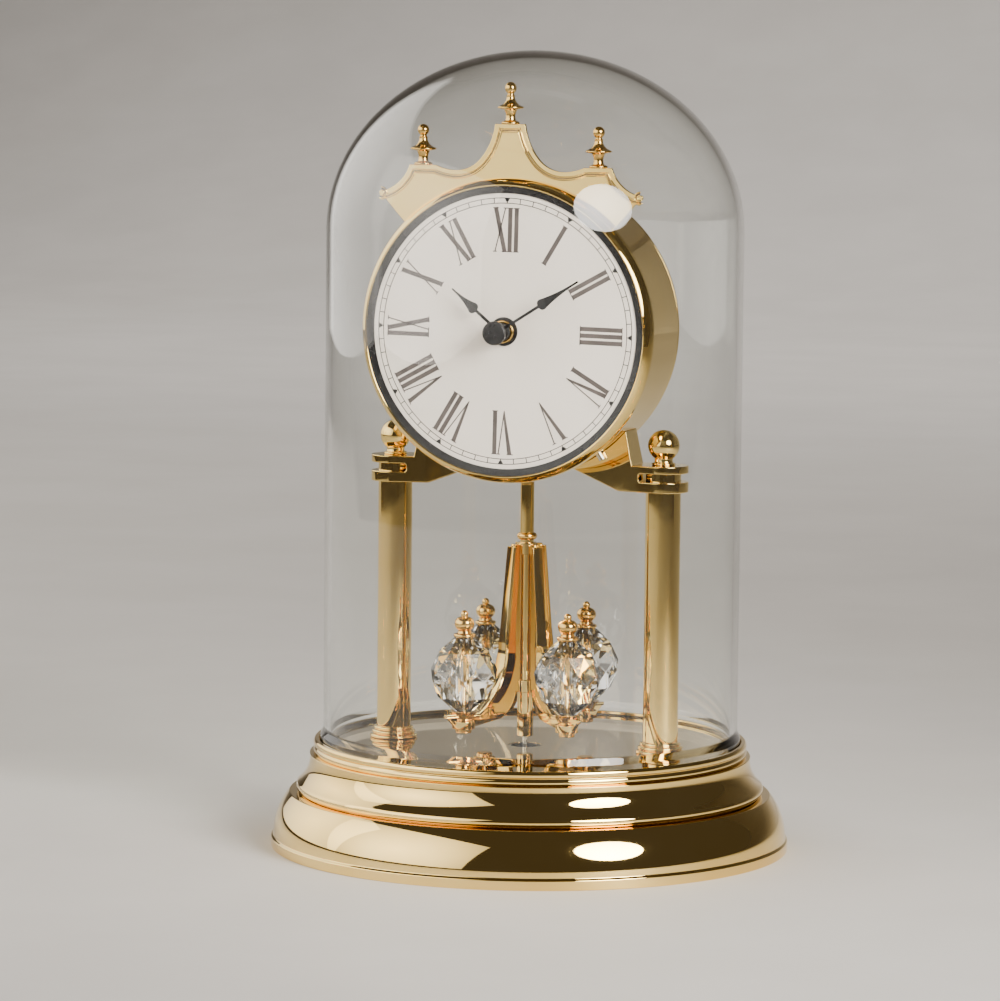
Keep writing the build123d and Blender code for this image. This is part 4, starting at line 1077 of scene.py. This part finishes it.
def shoulder_curve(radius, top, count=40):
    """From the side to the middle of the top, on a quarter of an ellipse."""
    angles = [pi / 2 * k / count for k in range(count + 1)]
    return [(radius * cos(a), spring + (top - spring) * sin(a)) for a in angles]


low = glass_low.z
profile = trace((foot - 0.5, low), ((foot - 0.12, low + 0.15), (foot, low + 0.6)), (foot, low + 3.0),
                ((foot - 0.5, low + 4.2), (outside, low + 5.4)), count=6)
profile += shoulder_curve(outside, dome_top)
inside = outside - dome_wall
profile += reversed(shoulder_curve(inside, dome_top - dome_wall))
profile += [(inside, low + 0.3), (inside + 0.3, low)]
glass = lathe(profile, 192, 0)
piece("glass_dome_blown", glass, "glass_dome", dome_glass, ["glass_dome"], "clear_glass")

# %% [markdown]
# ## The setting
# A plain pale floor that curves up behind into a backdrop, soft lights and one camera. None of it belongs
# to the clock. It ends a short way in front, as a table does, and the
# brass gets its dark half from the room beyond the edge.

# %% Lay the floor
def paper_finish():
    f = Finish("pale_paper")
    f.drive(f.blend(f.noise(90, 4), (0.70, 0.67, 0.63), (0.74, 0.71, 0.67)), "Base Color")
    f.set(Roughness=0.62)
    f.bump(f.noise(2.0, 4), 0.01)
    return f.material


front_radius, side, bend, bend_starts = 0.95, 3.0, 1.4, 2.2
angles = [pi / 2 * k / 24 for k in range(25)]
sweep = [(-front_radius * cos(a), 0.0, front_radius * sin(a) + 0.01) for a in angles]
sweep += [(0.9, 0.0, side), (bend_starts, 0.0, side)]
sweep += [(bend_starts + bend * sin(a), bend - bend * cos(a), side) for a in angles[1:]]
sweep += [(bend_starts + bend, 4.5, side)]
floor = bmesh.new()
rows = [[floor.verts.new((x, y, z)) for x in (-half, half)] for y, z, half in sweep]
for near_row, far_row in zip(rows, rows[1:]):
    floor.faces.new((near_row[0], near_row[1], far_row[1], far_row[0])).smooth = True
floor_mesh = bpy.data.meshes.new("floor")
floor.to_mesh(floor_mesh)
floor.free()
floor_mesh.materials.append(paper_finish())
floor_sheet = bpy.data.objects.new("floor", floor_mesh)
bpy.context.scene.collection.objects.link(floor_sheet)
print("floor laid")

# %% [markdown]
# A mirror shows only what surrounds it, so the lights shape everything. Two large soft panels stand round
# the left side, a smaller round one on the right, and one lights the backdrop. The room between them stays
# dim, which gives the brass its dark half.

# %% Set the lights
clock_middle = Vector((0, 0, 0.115))


def soft_light(name, place, aim, size, power, shape="RECTANGLE", colour=(1, 1, 1), height=None, spread=180):
    lamp = bpy.data.lights.new(name, "AREA")
    lamp.shape = shape
    lamp.size = size
    if shape == "RECTANGLE":
        lamp.size_y = height or size
    lamp.energy = power
    lamp.color = colour
    lamp.spread = radians(spread)
    thing = bpy.data.objects.new(name, lamp)
    thing.location = place
    thing.rotation_euler = (Vector(aim) - Vector(place)).to_track_quat("-Z", "Y").to_euler()
    bpy.context.scene.collection.objects.link(thing)


warm = (1.0, 0.95, 0.88)
soft_light("front_left_panel", (-0.82, -0.82, 0.56), clock_middle, 1.9, 6.6, height=1.1, colour=warm,
           spread=100)
soft_light("left_panel", (-1.15, 0.30, 0.56), clock_middle, 1.6, 4.4, height=1.1, colour=warm, spread=100)
soft_light("right_round", (0.62, -0.41, 0.43), clock_middle, 0.44, 3.0, "DISK", (1.0, 0.97, 0.93), spread=80)
soft_light("backdrop_panel", (-0.5, 1.4, 2.3), (-0.5, 2.2, 0), 1.6, 17, colour=(1.0, 0.97, 0.94), spread=85)
world = bpy.data.worlds.new("dim_room")
world.use_nodes = True
world.node_tree.nodes["Background"].inputs["Color"].default_value = (0.30, 0.26, 0.22, 1)
world.node_tree.nodes["Background"].inputs["Strength"].default_value = 0.22
bpy.context.scene.world = world
print("four soft lights and a dim room")

# %% [markdown]
# The camera is a long lens, a little above the middle of the clock and about 19 degrees round to its right,
# so that the face and one side show together. A long lens keeps the uprights parallel.

# %% Set the camera
def camera(place, bearing, tilt, roll, lens):
    """Bearing is where it looks, from straight back along +Y towards -X; all angles in degrees."""
    eye = bpy.data.cameras.new("camera")
    eye.lens = lens
    eye.sensor_width = 36.0
    eye.sensor_fit = "HORIZONTAL"
    eye.clip_start, eye.clip_end = 0.01, 60.0
    thing = bpy.data.objects.new("camera", eye)
    bpy.context.scene.collection.objects.link(thing)
    a, b = radians(bearing), radians(tilt)
    look = Vector((-sin(a) * cos(b), cos(a) * cos(b), sin(b)))
    right = Vector((cos(a), sin(a), 0))
    up = right.cross(look)
    c = radians(roll)
    across = right * cos(c) + up * sin(c)
    upward = up * cos(c) - right * sin(c)
    turn = Matrix((across, upward, -look)).transposed()
    thing.matrix_world = Matrix.Translation(place) @ turn.to_4x4()
    bpy.context.scene.camera = thing


camera(Vector((447.52, -1303.2, 242.67)) * MM, 19.3435, -5.896, 0.5546, 172.61928)
print("camera set")
